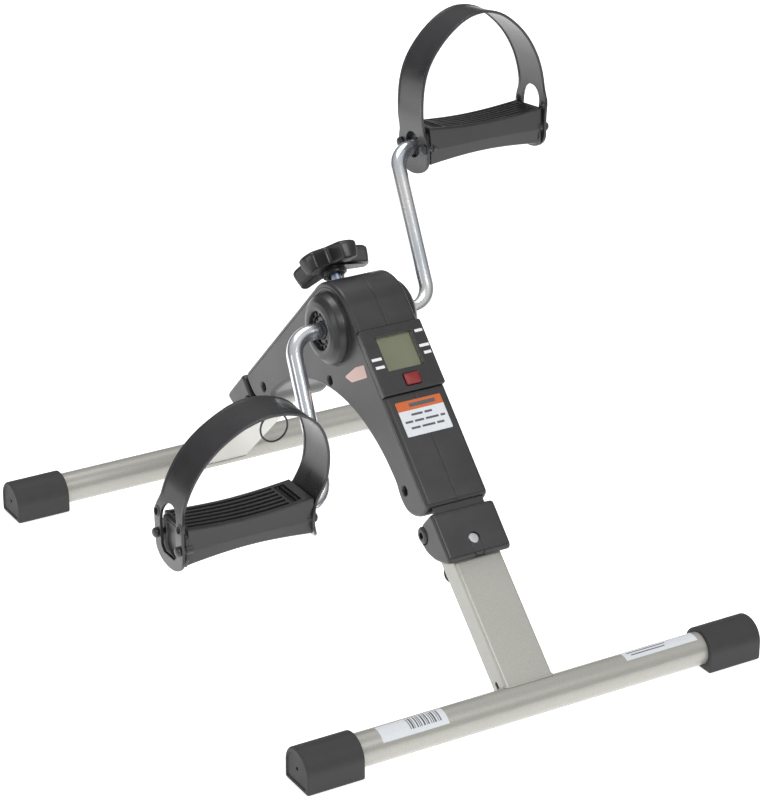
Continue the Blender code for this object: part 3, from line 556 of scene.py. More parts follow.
# ---------------------------------------------------------------- material kinds
def plastic(name, color, rough, grain=1400.0, grain_strength=0.22, edge=0.0010, highlight_gain=3.2):
    """Moulded plastic: eroded grain, faint flow clouds, edges painted lighter as a highlight and
    made smoother.
    """
    sh = Shader(name)
    clouds = sh.noise(scale=28.0, detail=4.0, rough=0.6, distort=0.4)
    specks = sh.noise(scale=420.0, detail=2.0, rough=0.7)
    rounded = sh.bevel(edge)
    patches = sh.remap(sh.noise(scale=160.0), within=(0.35, 0.7), to=(0.45, 1.0))
    # painted highlight: a patchy mask along the edges, which lightens the colour and lowers the
    # roughness there
    highlight_edges = sh.math("MULTIPLY", sh.edge_mask(rounded), patches)
    base = sh.mix(sh.remap(clouds), tint(color, 0.88), tint(color, 1.12))
    base = sh.mix(sh.remap(specks, within=(0.62, 0.80), to=(0.0, 0.25)), base, tint(color, 1.9))
    # painted highlight: the edges lightened by the gain
    base = sh.mix(sh.math("MULTIPLY", highlight_edges, 0.85), base, tint(color, highlight_gain, lift=0.014))
    dull = sh.remap(clouds, to=(rough - 0.05, rough + 0.06))
    fine = sh.noise(scale=grain, detail=2.0, rough=0.6)
    return sh.principled(
        base_color=base, roughness=sh.math("SUBTRACT", dull, sh.math("MULTIPLY", highlight_edges, 0.10)),
        coat_weight=0.10, coat_roughness=0.14, specular_ior_level=0.5,
        normal=sh.bump(fine, strength=grain_strength, distance=0.00012, normal=rounded))


def paint(name, color):
    """Hammered paint: fine flake, orange-peel skin, a clear gloss over it, and a painted highlight
    along the edges.
    """
    sh = Shader(name)
    peel = sh.noise(scale=230.0, detail=2.0, rough=0.5)
    flake = sh.node("ShaderNodeTexVoronoi", {"Vector": sh.coords, "Scale": 2600.0})
    flake = sh.node("ShaderNodeSeparateColor", {0: flake.outputs["Color"]}).outputs
    clouds = sh.noise(scale=18.0, rough=0.6)
    rounded = sh.bevel(0.0013)
    base = sh.mix(sh.remap(flake[0], within=(0.0, 1.0)), tint(color, 0.90), tint(color, 1.10))
    base = sh.mix(sh.remap(clouds, to=(0.0, 0.10)), base, tint(color, 0.80))
    # painted highlight: the edges lightened
    base = sh.mix(sh.edge_mask(rounded, amount=0.75), base, tint(color, 1.75))
    return sh.principled(
        base_color=base, roughness=sh.remap(flake[1], within=(0.0, 1.0), to=(0.30, 0.46)),
        metallic=0.28, coat_weight=0.55, coat_roughness=0.10,
        normal=sh.bump(peel, strength=0.14, distance=0.00020, normal=rounded))


def plated(name, color, rough, stretch=(1.0, 1.0, 1.0), stain=0.25, metal=1.0):
    """Plate: bright metal with drawing marks, cloudy hues and a few dull patches."""
    sh = Shader(name)
    lines = sh.noise(scale=900.0, rough=0.6, stretch=stretch)
    clouds = sh.noise(scale=55.0, detail=4.0, rough=0.65, distort=0.6)
    hue = sh.noise(scale=24.0, detail=2.0, rough=0.5)
    cool, warm = (tuple(a * b for a, b in zip(color, shift))
                  for shift in ((0.96, 0.99, 1.02), (1.02, 1.0, 0.96)))
    base = sh.mix(sh.remap(hue, within=(0.35, 0.65)), cool, warm)
    base = sh.mix(sh.remap(clouds, within=(0.52, 0.78), to=(0.0, stain)), base, tint(color, 0.55))
    return sh.principled(
        base_color=base, metallic=metal,
        roughness=sh.remap(hue, within=(0.3, 0.75), to=(rough - 0.03, rough + 0.07)),
        normal=sh.bump(lines, strength=0.03, distance=0.00003,
                       normal=sh.bevel(0.0004, samples=2)))


def rubber(name, color):
    """Dull rubber with scuffs drawn out along x, and a painted highlight along the edges."""
    sh = Shader(name)
    grain = sh.noise(scale=1900.0, detail=2.0, rough=0.7)
    clouds = sh.noise(scale=70.0, detail=4.0, rough=0.6)
    scuffs = sh.noise(scale=240.0, detail=4.0, rough=0.7, stretch=(0.35, 1.0, 1.0))
    rounded = sh.bevel(0.0009)
    base = sh.mix(sh.remap(clouds), tint(color, 0.86), tint(color, 1.12))
    base = sh.mix(sh.remap(scuffs, within=(0.60, 0.78), to=(0.0, 0.30)), base, tint(color, 2.0))
    # painted highlight: the edges lightened
    base = sh.mix(sh.edge_mask(rounded, amount=0.4), base, tint(color, 1.7))
    return sh.principled(
        base_color=base, roughness=sh.remap(clouds, to=(0.56, 0.70)), specular_ior_level=0.4,
        normal=sh.bump(grain, strength=0.30, distance=0.00015, normal=rounded))


def speckle(name, dark, light, scale, rough, metal=0.0, grain_strength=0.2):
    """Two-tone grain for small inner parts."""
    sh = Shader(name)
    grain = sh.noise(scale=scale, detail=4.0, rough=0.6)
    return sh.principled(
        base_color=sh.mix(sh.remap(grain, within=(0.38, 0.62)), dark, light), metallic=metal,
        roughness=sh.remap(grain, to=(rough - 0.08, rough + 0.08)),
        normal=sh.bump(grain, strength=grain_strength, distance=0.0001,
                       normal=sh.bevel(0.0003, samples=2)))


def soft_pvc(name, color):
    """Satin PVC with long flow marks and a painted highlight along its edges."""
    sh = Shader(name)
    grain = sh.noise(scale=1500.0, detail=2.0, rough=0.6)
    clouds = sh.noise(scale=34.0, detail=4.0, rough=0.6, distort=0.8)
    flow = sh.noise(scale=90.0, detail=4.0, rough=0.65, stretch=(0.5, 2.4, 0.5))
    rounded = sh.bevel(0.0010)
    base = sh.mix(sh.remap(clouds), tint(color, 0.82), tint(color, 1.18))
    base = sh.mix(sh.remap(flow, within=(0.56, 0.74), to=(0.0, 0.22)), base, tint(color, 2.2))
    # painted highlight: the edges much lighter
    base = sh.mix(sh.edge_mask(rounded, amount=0.85), base, tint(color, 3.2))
    return sh.principled(
        base_color=base, roughness=sh.remap(clouds, to=(0.24, 0.36)),
        coat_weight=0.2, coat_roughness=0.12,
        normal=sh.bump(grain, strength=0.12, distance=0.0001, normal=rounded))


def liquid_crystal(name):
    """Unlit olive film with a faint checker weave."""
    sh = Shader(name)
    weave = sh.node("ShaderNodeTexChecker", {"Vector": sh.coords, "Scale": 2600.0}).outputs["Fac"]
    clouds = sh.noise(scale=40.0)
    base = sh.mix(sh.remap(clouds, within=(0.35, 0.65)),
                  (0.305, 0.305, 0.215), (0.335, 0.335, 0.235))
    base = sh.mix(sh.math("MULTIPLY", weave, 0.06), base, (0.22, 0.22, 0.15))
    return sh.principled(base_color=base, roughness=sh.remap(clouds, to=(0.34, 0.42)),
                         specular_ior_level=0.4)


def clear_window(name):
    """See-through face on, mirror-like at a slant, with hair scratches."""
    sh = Shader(name)
    scratches = sh.noise(scale=600.0, detail=4.0, rough=0.7, stretch=(0.12, 1.0, 1.0))
    gloss = sh.node("ShaderNodeBsdfGlossy", {
        "Color": (0.95, 0.97, 0.95), "Roughness": sh.remap(scratches, to=(0.03, 0.12))})
    clear = sh.node("ShaderNodeBsdfTransparent", {"Color": (0.97, 0.98, 0.96)})
    fresnel = sh.node("ShaderNodeFresnel", {"IOR": 1.36})
    return sh.surface(sh.node("ShaderNodeMixShader", {
        0: fresnel.outputs[0], 1: clear.outputs[0], 2: gloss.outputs[0]}))


def vinyl(name, color):
    """Printed vinyl: fine fibre mottling and a satin film."""
    sh = Shader(name)
    fibre = sh.noise(scale=800.0, detail=4.0, rough=0.6)
    clouds = sh.noise(scale=60.0)
    base = sh.mix(sh.remap(fibre, within=(0.35, 0.65)), tint(color, 0.95), tint(color, 1.03))
    base = sh.mix(sh.remap(clouds, within=(0.5, 0.75), to=(0.0, 0.12)), base, tint(color, 0.8))
    return sh.principled(base_color=base, roughness=sh.remap(fibre, to=(0.44, 0.56)),
                         normal=sh.bump(fibre, strength=0.08, distance=0.00004))


# ---------------------------------------------------------------- looks: (material, slot)
# every plastic below carries a painted highlight that lightens its edges; a gain given in the call
# sets how much lighter
SHELL = plastic("housing_plastic", (0.027, 0.027, 0.028), rough=0.36, edge=0.0013), "black_abs"
CONSOLE = plastic("console_plastic", (0.023, 0.023, 0.0245), rough=0.33, grain=1900.0,
                  grain_strength=0.14, edge=0.0009), "black_abs"
NYLON = plastic("pedal_nylon", (0.024, 0.024, 0.025), rough=0.34, grain=1100.0,
                grain_strength=0.16, highlight_gain=3.6), "black_nylon"
KNOB = plastic("knob_nylon", (0.022, 0.022, 0.023), rough=0.36, grain=1300.0,
               grain_strength=0.20, highlight_gain=3.4), "black_nylon"
BRACKET = plastic("bracket_coat", (0.027, 0.027, 0.028), rough=0.34, grain=900.0,
                  highlight_gain=2.8), "black_paint"
BOLT = plastic("bolt_coat", (0.016, 0.016, 0.017), rough=0.34, grain=900.0,
               grain_strength=0.12), "black_paint"
RED = plastic("button_red", (0.24, 0.014, 0.014), rough=0.34, grain=1500.0,
              grain_strength=0.10, highlight_gain=1.3), "red_abs"
PAINT = paint("hammered_paint", (0.40, 0.395, 0.36)), "grey_paint"
RUBBER = rubber("cap_rubber_skin", (0.037, 0.037, 0.038)), "cap_rubber"
CRANK_ZINC = plated("crank_zinc", (0.84, 0.86, 0.89), rough=0.20, stretch=(0.25, 0.25, 0.25),
                    stain=0.06, metal=0.93), "zinc"
PIN_ZINC = plated("pin_zinc", (0.50, 0.50, 0.51), rough=0.46, stain=0.12, metal=0.75), "zinc"
SCREW_ZINC = plated("screw_zinc", (0.50, 0.51, 0.53), rough=0.28), "zinc"
STEM_ZINC = plated("stem_zinc", (0.40, 0.48, 0.60), rough=0.36, stain=0.15), "blue_zinc"
STEEL = plated("frame_steel", (0.42, 0.42, 0.43), rough=0.36, stain=0.5), "steel"
RING_WIRE = plated("ring_wire", (0.045, 0.045, 0.047), rough=0.40, stain=0.3, metal=0.6), "steel"
SPRING_WIRE = plated("spring_wire", (0.48, 0.48, 0.50), rough=0.30), "steel"

# materials of the CAD pieces that stay
BRONZE = speckle("sintered_bronze", (0.30, 0.19, 0.08), (0.44, 0.29, 0.13), scale=900.0,
                 rough=0.45, metal=1.0)
BOARD = speckle("board_mask", (0.014, 0.11, 0.045), (0.02, 0.15, 0.06), scale=300.0, rough=0.4)
CELL = plated("cell_can", (0.62, 0.62, 0.60), rough=0.22)
SENSOR = speckle("sensor_body", (0.42, 0.38, 0.30), (0.52, 0.48, 0.38), scale=400.0, rough=0.4)
LEAD = speckle("lead_jacket", (0.014, 0.014, 0.015), (0.024, 0.024, 0.026), scale=700.0,
               rough=0.5)
MAGNET = plated("magnet_nickel", (0.30, 0.30, 0.31), rough=0.25)
FELT = speckle("friction_felt", (0.10, 0.08, 0.06), (0.17, 0.14, 0.11), scale=1200.0,
               rough=0.85, grain_strength=0.6)

STRAP = soft_pvc("strap_pvc", (0.023, 0.023, 0.025)), "black_pvc"
LCD = liquid_crystal("lcd_film")
LENS = clear_window("window_clear"), "lens"

# prints and labels, used on more than one slot
WHITE = vinyl("label_white", (0.70, 0.73, 0.76))
ORANGE = vinyl("label_orange", (0.60, 0.125, 0.022))
PINK = vinyl("sticker_pink", (0.74, 0.52, 0.47))
GREY = vinyl("label_print", (0.09, 0.09, 0.10))
PRINT_WHITE = vinyl("print_white", (0.80, 0.80, 0.80))

# ---------------------------------------------------------------- housing shells
ARCH_R, ARCH_Z, ARCH_HALF = 137.0, 33.8, 91.0
# rounded arm end: along, out, and how far each moves for 1 mm of inset
ARM_END = [
    (8.7, FACE_OUT, -1, -1), (10.7, 187.8, -1, -0.3), (9.9, 177.3, -1, 0),
    (5.3, 167.4, -0.8, 0.6), (-0.5, 161.7, -0.5, 0.9), (-6.7, 159.4, 0, 1),
    (-15.0, 159.0, 0, 1), (-24.5, 161.0, 0, 1)]
# hub boss: x outwards, radius, corner radius
BOSS = [
    (24.6, 8.2, 0), (24.6, 28.0, 0), (29.0, 28.0, 2.2), (33.6, 26.6, 3.5), (36.8, 22.6, 4.0),
    (37.9, 18.4, 2.2), (37.5, 15.3, 0.7), (31.2, 14.5, 1.0), (30.6, 8.2, 0.5)]


def dome(depth, steps):
    return arc(0, AXIS_Z, DOME_R - depth, 90 + ARM_ANGLE, 90 - ARM_ANGLE, steps)


def housing_outline(depth=0.0, fine=True):
    """Side view: dome, two arms with rounded ends, and the arch between them."""
    top = dome(depth, 44 if fine else 12)
    tip = [(along + depth * d_along, out + depth * d_out)
           for along, out, d_along, d_out in ARM_END]
    half_angle = math.degrees(math.asin(ARCH_HALF / (ARCH_R + depth)))
    arch = arc(0, ARCH_Z, ARCH_R + depth, 90 - half_angle, 90 + half_angle, 14)
    rear, front = ([yz(arm(along, out, end)) for along, out in tip] for end in (1, -1))
    lower = rear[1:] + arch + front[:0:-1]
    if fine:
        lower = spline(lower, 4)
    points = top + rear[:1] + lower + front[:1]
    if fine:
        radii = [0.0] * len(points)
        radii[len(top)] = radii[-1] = 4.2
        points = fillet(points, radii, 7)
    return points


def edge_line(depth):
    """A line inside the outer edge of the side face, from front arm to rear arm."""
    face = FACE_OUT - depth
    return ([yz(arm(4.0, face, -1)), yz(arm(AXIS_ALONG, face, -1))] + dome(depth, 40)
            + [yz(arm(4.0, face, 1))])


def screw_recesses(ob):
    """Countersinks outside and sleeves inside, for the three shell screws."""
    cut(ob, *[revolve([(20, 0), (20, 3.7), (25.4, 3.7), (26.1, 4.5), (30, 4.5), (30, 0)],
                      (0, y, z), (-1, 0, 0), 32) for _, y, z in SCREWS])
    merge(ob, *[revolve([(12.0, 3.9), (12.0, 5.4), (24.2, 5.4), (24.2, 3.9)],
                        (0, y, z), (-1, 0, 0), 32) for _, y, z in SCREWS])


def shell(name, side):
    axis = (side, 0, 0)
    ob = prism(housing_outline(), side * 0.07, side * SHELL_HALF, SIDE_PLANE, 0.22, 3.0, 6)
    groove = edge_line(3.5) + edge_line(4.1)[::-1]
    cut(ob, prism(housing_outline(SHELL_WALL, False), -side * 1.0,
                  side * (SHELL_HALF - SHELL_WALL), SIDE_PLANE),
        prism(groove, side * (SHELL_HALF - 0.45), side * 40, SIDE_PLANE))
    cut(ob, revolve([(25.7, 28.3), (25.7, 29.3), (30, 29.3), (30, 28.3)], HUB, axis, 80))
    boss = fillet([row[:2] for row in BOSS], [row[2] for row in BOSS], 5)
    join(ob, revolve(boss, HUB, axis, 80))
    cut(ob, x_rod(8.0, side * 20, side * 40, 0, AXIS_Z, 48),
        prism(face_rect(-40, 40, 20.4, 76.3), 191.0, 200, FRONT_FACE),
        knob_turned([(26, 0), (26, 5.6), (34.6, 5.6), (36.2, 6.6), (40, 6.6), (40, 0)], 40),
        *[prism(rect(-22.2, 22.2, -30, 20), 187.0, 191.6, arm_plane(end)) for end in (-1, 1)])
    if side < 0:
        screw_recesses(ob)
    finish(ob, name + "_shell_skin", "housing", SHELL, name + "_shell", sharp=28)


def hub_top(radius, turn):
    """Raised ring round the shaft, then spokes."""
    if radius < 11.75:
        return 35.6
    if radius < 12.3:
        return 35.2
    return 34.9 if 0.5 + 0.5 * math.cos(14 * turn) > 0.45 else 33.3


def collar_top(radius, turn):
    """Rounded ring with six notches."""
    notched = 0.5 + 0.5 * math.cos(6 * turn) > 0.86 and radius > 8.3
    edge = min(1.0, min(radius - 6.8, 11.0 - radius) / 0.8)
    return 33.6 + 0.9 * math.sqrt(max(0.0, edge)) - (1.3 if notched else 0.0)


for name, side in SIDES:
    shell(name, side)
    finish(annulus([11.3, 11.7, 11.9, 12.45, 12.6, 13.4, 14.2, 14.9], hub_top, 30.4,
                   (side, 0, 0), 336),
           name + "_hub_ribs", "housing", CONSOLE, sharp=30)
    finish(annulus([6.8, 6.95, 7.3, 7.8, 8.25, 8.5, 9.4, 10.0, 10.5, 10.85, 11.0], collar_top,
                   31.0, (side, 0, 0), 240),
           name + "_shaft_collar_ring", "crank", KNOB, name + "_shaft_collar", sharp=30)


def pan_screw(y, z):
    """Pan-head screw with a cross recess and a plain shank."""
    profile = fillet([(-22.6, 0.0), (-22.6, 2.2), (-22.0, 3.3), (-20.6, 3.4), (-20.6, 1.6),
                      (20.0, 1.6), (20.0, 0.0)], [0, 0.6, 0.5, 0.1, 0, 0.3, 0], 4, closed=False)
    long, thin = 2.1, 0.42
    return cut(revolve(profile, (0, y, z), (1, 0, 0), 32),
               *[prism(rect(-wide, wide, -high, high), -23.2, -21.4, side_plane((0, y, z)))
                 for wide, high in ((long, thin), (thin, long))])


for name, y, z in SCREWS:
    finish(pan_screw(y, z), f"shell_screw_{name}_fine", "housing", SCREW_ZINC,
           "shell_screw_" + name)

# ---------------------------------------------------------------- display console
DISPLAY = (-14.8, 15.4, 29.0, 57.0)     # x and down-the-arm limits of the opening
BUTTON = (-5.6, 7.8, 61.6, 71.4)        # the same for the button's opening
CONSOLE_TOP = 197.0


def flared(limits, grow, out0, out1, radius):
    """A rectangular opening that widens outwards by grow."""
    x0, x1, down0, down1 = limits
    wide = face_rect(x0 - grow, x1 + grow, down0 - grow, down1 + grow, radius + grow * 0.6)
    return loft([[Vector((a, b, out)) for a, b in ring]
                 for ring, out in ((face_rect(*limits, radius), out0), (wide, out1))],
                FRONT_FACE)


def console_panel():
    panel = prism(face_rect(-26.7, 26.7, 21.3, 75.7, 1.6, 5), 191.3, CONSOLE_TOP, FRONT_FACE,
                  0.0, 0.9)
    return cut(panel, prism(face_rect(-18, 18, 26.5, 59.0), 190, 195.5, FRONT_FACE),
               prism(face_rect(*DISPLAY, 0.6), 190, 196.2, FRONT_FACE),
               flared(DISPLAY, 0.75, 196.1, 197.2, 0.6),
               prism(face_rect(*BUTTON, 1.2), 190, 196.5, FRONT_FACE),
               flared(BUTTON, 0.5, 196.45, 197.2, 1.2),
               prism(face_rect(-7.0, 9.2, 60.2, 72.8), 190, 194.0, FRONT_FACE))


def display_window():
    """A plate behind the panel with a step that fills the opening."""
    return join(prism(face_rect(-17.6, 17.6, 26.9, 58.6, 1.0), 194.0, 195.2, FRONT_FACE,
                      0.1, 0.15, 2),
                prism(face_rect(-14.6, 15.2, 29.2, 56.8, 0.7), 195.0, 196.2, FRONT_FACE,
                      0.0, 0.2, 2))


def mode_button():
    """Crowned cap on a flange."""
    x0, x1, down0, down1 = -5.2, 7.4, 62.0, 71.0
    base, top, crown, edge = 193.2, 198.6, 0.35, 0.7
    outline = face_rect(x0, x1, down0, down1, 1.1, 5)
    shoulder = top - crown - edge
    levels = [(outline, base), (outline, shoulder)]
    levels += [(inset(outline, edge * (1 - math.cos(turn))), shoulder + edge * math.sin(turn))
               for turn in quarter(4)[1:]]
    x_mid, mid_along = (x0 + x1) / 2, AXIS_ALONG + (down0 + down1) / 2
    for f in (0.75, 0.5, 0.25):
        shrunk = [(x_mid + (a - x_mid) * f, mid_along + (b - mid_along) * f)
                  for a, b in inset(outline, edge)]
        levels.append((shrunk, top - crown * f * f))
    cap = loft([[Vector((a, b, out)) for a, b in ring] for ring, out in levels], FRONT_FACE)
    return join(cap, prism(face_rect(-6.6, 8.8, 60.6, 72.4, 0.8), 192.2, 193.5, FRONT_FACE))


finish(console_panel(), "console_panel", "housing", CONSOLE, "console_bezel", sharp=28)
finish(display_window(), "lcd_window_clear", "housing", LENS, "lcd_window")
finish(mode_button(), "mode_button_cap", "button", RED, "mode_button")


# ---------------------------------------------------------------- labels and prints
def housing_label(ob, name, material):
    finish(ob, name, "housing", (material, "black_abs"), weld=False)


def printed(name, marks, out, material, thick):
    """Bars on the front face, each (x0, x1, down0, down1)."""
    bars = []
    for x0, x1, down0, down1 in marks:
        radius = min(x1 - x0, down1 - down0) * 0.12
        bars.append(prism(face_rect(x0, x1, down0, down1, radius, 2), out - 0.05, out + thick,
                          FRONT_FACE))
    housing_label(merge(*bars), name, material)


# bars beside the display: x, distance down the arm, width
CONSOLE_MARKS = [(18.2, 29.4, 6.6), (17.2, 41.8, 8.4), (18.8, 47.8, 6.2), (-25.4, 45.0, 8.4),
                 (-24.6, 51.6, 7.6)]
printed("console_marks", [(x, x + width, down, down + 2.3) for x, down, width in CONSOLE_MARKS],
        CONSOLE_TOP, PRINT_WHITE, 0.09)

NOTICE_TOP, NOTICE_HALF = 82.0, 19.5
housing_label(prism(face_rect(-NOTICE_HALF, NOTICE_HALF, NOTICE_TOP, NOTICE_TOP + 28.0, 0.8, 3),
                    FACE_OUT + 0.02, FACE_OUT + 0.16, FRONT_FACE), "notice_label", WHITE)
housing_label(prism(face_rect(-NOTICE_HALF, NOTICE_HALF, NOTICE_TOP, NOTICE_TOP + 7.6,
                              [0.8, 0.8, 0.01, 0.01], 3),
                    FACE_OUT + 0.12, FACE_OUT + 0.24, FRONT_FACE), "notice_label_band", ORANGE)


def notice_dashes():
    """Three rows, each broken into dashes of four lengths in turn."""
    dashes = []
    for row, (x, x_end, down) in enumerate(((-9.8, 10.2, 10.2), (-17.0, 17.2, 15.4),
                                            (-14.0, 14.4, 20.6))):
        k = row
        top = NOTICE_TOP + down
        while x < x_end - 1.5:
            width = (9.6, 6.4, 7.8, 11.0)[k % 4]
            dashes.append((x, min(x + width, x_end), top + 0.35, top + 2.05))
            x += width + 1.7
            k += 1
    return dashes


printed("notice_label_rules", notice_dashes(), FACE_OUT + 0.16, GREY, 0.05)
printed("notice_label_band_rule", [(-8.8, 13.6, NOTICE_TOP + 2.3, NOTICE_TOP + 5.3)],
        FACE_OUT + 0.24, GREY, 0.05)

# pointed sticker on the left side: y, z
STICKER = [(-20.6, 190.3), (-36.7, 204.1), (-49.4, 210.8), (-54.5, 202.5), (-31.6, 189.9)]
housing_label(prism(fillet(STICKER, 0.8, 3), -SHELL_HALF - 0.02, -SHELL_HALF - 0.16, SIDE_PLANE),
              "direction_sticker", PINK)


LABEL_THICK = 0.14


def tube_sheet(x0, x1, angle0, angle1, lift=0.0, thick=LABEL_THICK):
    """A sheet wrapped on the front base tube (angle 0 = level to the front, 90 = top)."""
    rows, columns = 14, 6
    inner = TUBE_R + lift + 0.01
    verts, faces = [], []
    for layer in (inner, inner + thick):
        for i in range(columns + 1):
            for k in range(rows + 1):
                angle = rad(angle0 + (angle1 - angle0) * k / rows)
                verts.append((x0 + (x1 - x0) * i / columns,
                              -(BASE_Y + layer * math.cos(angle)),
                              TUBE_Z + layer * math.sin(angle)))
    wide = rows + 1
    upper = wide * (columns + 1)
    for i in range(columns):
        for k in range(rows):
            a = i * wide + k
            faces += [(a, a + 1, a + wide + 1, a + wide),
                      (upper + a, upper + a + wide, upper + a + wide + 1, upper + a + 1)]
        for a in (i * wide, i * wide + rows):
            faces.append((a, a + wide, upper + a + wide, upper + a))
    for k in range(rows):
        for a in (k, columns * wide + k):
            faces.append((a, a + 1, upper + a + 1, upper + a))
    return make(verts, faces)


def tube_print(x0, x1, angle0, angle1):
    return tube_sheet(x0, x1, angle0, angle1, lift=LABEL_THICK, thick=0.05)


def tick_marks():
    ticks, x = [], -106.5
    for k in range(14):
        width = (0.7, 1.3, 0.5, 1.0, 0.6)[k % 5]
        ticks.append(tube_print(x, x + width, 50, 96))
        x += width + (1.0, 0.7, 1.5)[k % 3]
    return merge(*ticks)


def tube_label(ob, name, material):
    finish(ob, name, "front_leg", (material, "grey_paint"))


tube_label(tube_sheet(-130.5, -76.0, 33, 101), "tube_label_left", WHITE)
tube_label(tube_sheet(80.0, 143.5, 62, 104), "tube_label_right", WHITE)
tube_label(tick_marks(), "tube_label_ticks", GREY)
tube_label(merge(tube_print(84, 118, 92, 96.5), tube_print(86, 116, 78, 82.5)),
           "tube_label_lines", GREY)

# ---------------------------------------------------------------- crank
CRANK_R, CRANK_HUB_X, CRANK_CORNER_X, CRANK_BEND_R = 6.35, 61.5, 81.5, 20.0
# cap on a spindle: x beyond the spindle's end, radius
SPINDLE_CAP = [(0.4, 0.0), (0.4, 6.8), (-5.0, 6.8), (-5.0, 8.8), (-4.6, 9.2), (1.2, 9.2),
               (1.9, 8.6), (2.4, 7.6), (2.6, 6.0), (2.6, 0.0)]


def rounded_path(points, radius, steps=14):
    """A path through points in space with its corners bent to a radius."""
    points = [Vector(p) for p in points]
    out = [points[0]]
    for before, corner, after in zip(points, points[1:], points[2:]):
        back, ahead = (before - corner).normalized(), (after - corner).normalized()
        half_angle = back.angle(ahead) / 2
        reach = radius / math.tan(half_angle)
        centre = corner + (back + ahead).normalized() * (radius / math.sin(half_angle))
        first, final = corner + back * reach - centre, corner + ahead * reach - centre
        total, hinge = first.angle(final), first.cross(final).normalized()
        out += [centre + Matrix.Rotation(total * i / steps, 3, hinge) @ first
                for i in range(steps + 1)]
    return out + [points[-1]]


LEFT_YZ, RIGHT_YZ = yz(SPINDLE["left"]), yz(SPINDLE["right"])
CRANK_PATH = [
    (-SPINDLE_END, *LEFT_YZ), (-CRANK_CORNER_X, *LEFT_YZ), (-CRANK_HUB_X, 0, AXIS_Z),
    (CRANK_HUB_X, 0, AXIS_Z), (CRANK_CORNER_X, *RIGHT_YZ), (SPINDLE_END, *RIGHT_YZ)]
finish(sweep(rounded_path(CRANK_PATH, CRANK_BEND_R), CRANK_R, 40),
       "crank_rod", "crank", CRANK_ZINC, "crankshaft", sharp=40)
for name, side in SIDES:
    finish(revolve([(SPINDLE_END + x, radius) for x, radius in SPINDLE_CAP],
                   (0, *yz(SPINDLE[name])), (side, 0, 0), 48),
           name + "_spindle_cap", "crank", STEEL, name + "_spindle_nut")

# ---------------------------------------------------------------- pedals
# Built on the right about a spindle at y = z = 0, then moved, tilted and mirrored.
PEDAL_HALF, PEDAL_WIDTH = 101.5 / 2, 38.8
PEDAL_TOP, PEDAL_BOTTOM = 17.0, -12.8
PEDAL_TILT = {"left": 0.0, "right": -6.2}
PEDAL_INNER, PEDAL_OUTER = PEDAL_X - PEDAL_HALF, PEDAL_X + PEDAL_HALF
PEG_Y, PEG_Z, SPARE_Z = (-18.0, 18.0), 1.0, 18.0
# the body's ends, x from the pedal's middle
PEDAL_ENDS = {"left": (-PEDAL_HALF - 3.4, PEDAL_HALF - 1.8),
              "right": (-PEDAL_HALF - 2.0, PEDAL_HALF + 0.6)}


def pedal_section(u):
    """Slice at a fraction of the length: dished tread, lower face arched and drawn in."""
    top = PEDAL_TOP - 3.0 * math.sin(math.pi * u)
    bottom = PEDAL_BOTTOM + 3.6 * math.sin(math.pi * u)
    widest = bottom + 0.40 * (top - bottom)
    half = PEDAL_WIDTH / 2
    return fillet(mirrored([(half - 0.15, top), (half, widest), (half - 2.3, bottom)]),
                  [1.5, 2.5, 1.6, 1.6, 2.5, 1.5], 4)


def pedal_block(start, stop, steps=28, edge=0.9):
    rings = []
    for i in range(steps + 1):
        x = PEDAL_X + start + (stop - start) * i / steps
        section = pedal_section(i / steps)
        levels = [(section, x)]
        if i in (0, steps):
            turns, way = (quarter(3), 1) if i == 0 else (quarter(3)[::-1], -1)
            levels = [(inset(section, edge * (1 - math.sin(turn))),
                       x + way * edge * (1 - math.cos(turn))) for turn in turns]
        rings += [[Vector((level, y, z)) for y, z in ring] for ring, level in levels]
    return loft(rings)


def pedal_teeth():
    """Two saw-edged strips standing in the pocket, half a pitch apart."""
    saw = [(-14.4, 10.4)]
    for k in range(9):
        y = -14.4 + k * 3.2
        saw += [(y, 11.6), (y + 1.6, 15.8)]
    saw += [(14.4, 11.2), (14.4, 10.4)]
    shifted = [(y + 1.6 if 0 < i < len(saw) - 2 and y < 12 else y, z)
               for i, (y, z) in enumerate(saw)]
    return [prism(outline, PEDAL_INNER + x, PEDAL_INNER + x + 2.0, SIDE_PLANE)
            for outline, x in ((saw, 5.0), (shifted, 9.4))]


def strap_peg(y, way, left):
    """Mushroom peg that the strap hooks on; way is -1 at the inner end."""
    face = PEDAL_HALF + (2.2 if way > 0 and left else 4.4 if way < 0 and not left else 0.0)
    head = [(3.0, 2.2), (3.0, 3.5), (3.4, 3.9), (4.4, 3.8), (5.6, 2.9), (6.1, 1.6), (6.3, 0.0)]
    profile = [(PEDAL_HALF - 3, 0), (PEDAL_HALF - 3, 2.2)] + [(face + h, r) for h, r in head]
    return revolve(profile, (PEDAL_X, y, PEG_Z), (way, 0, 0), 28)


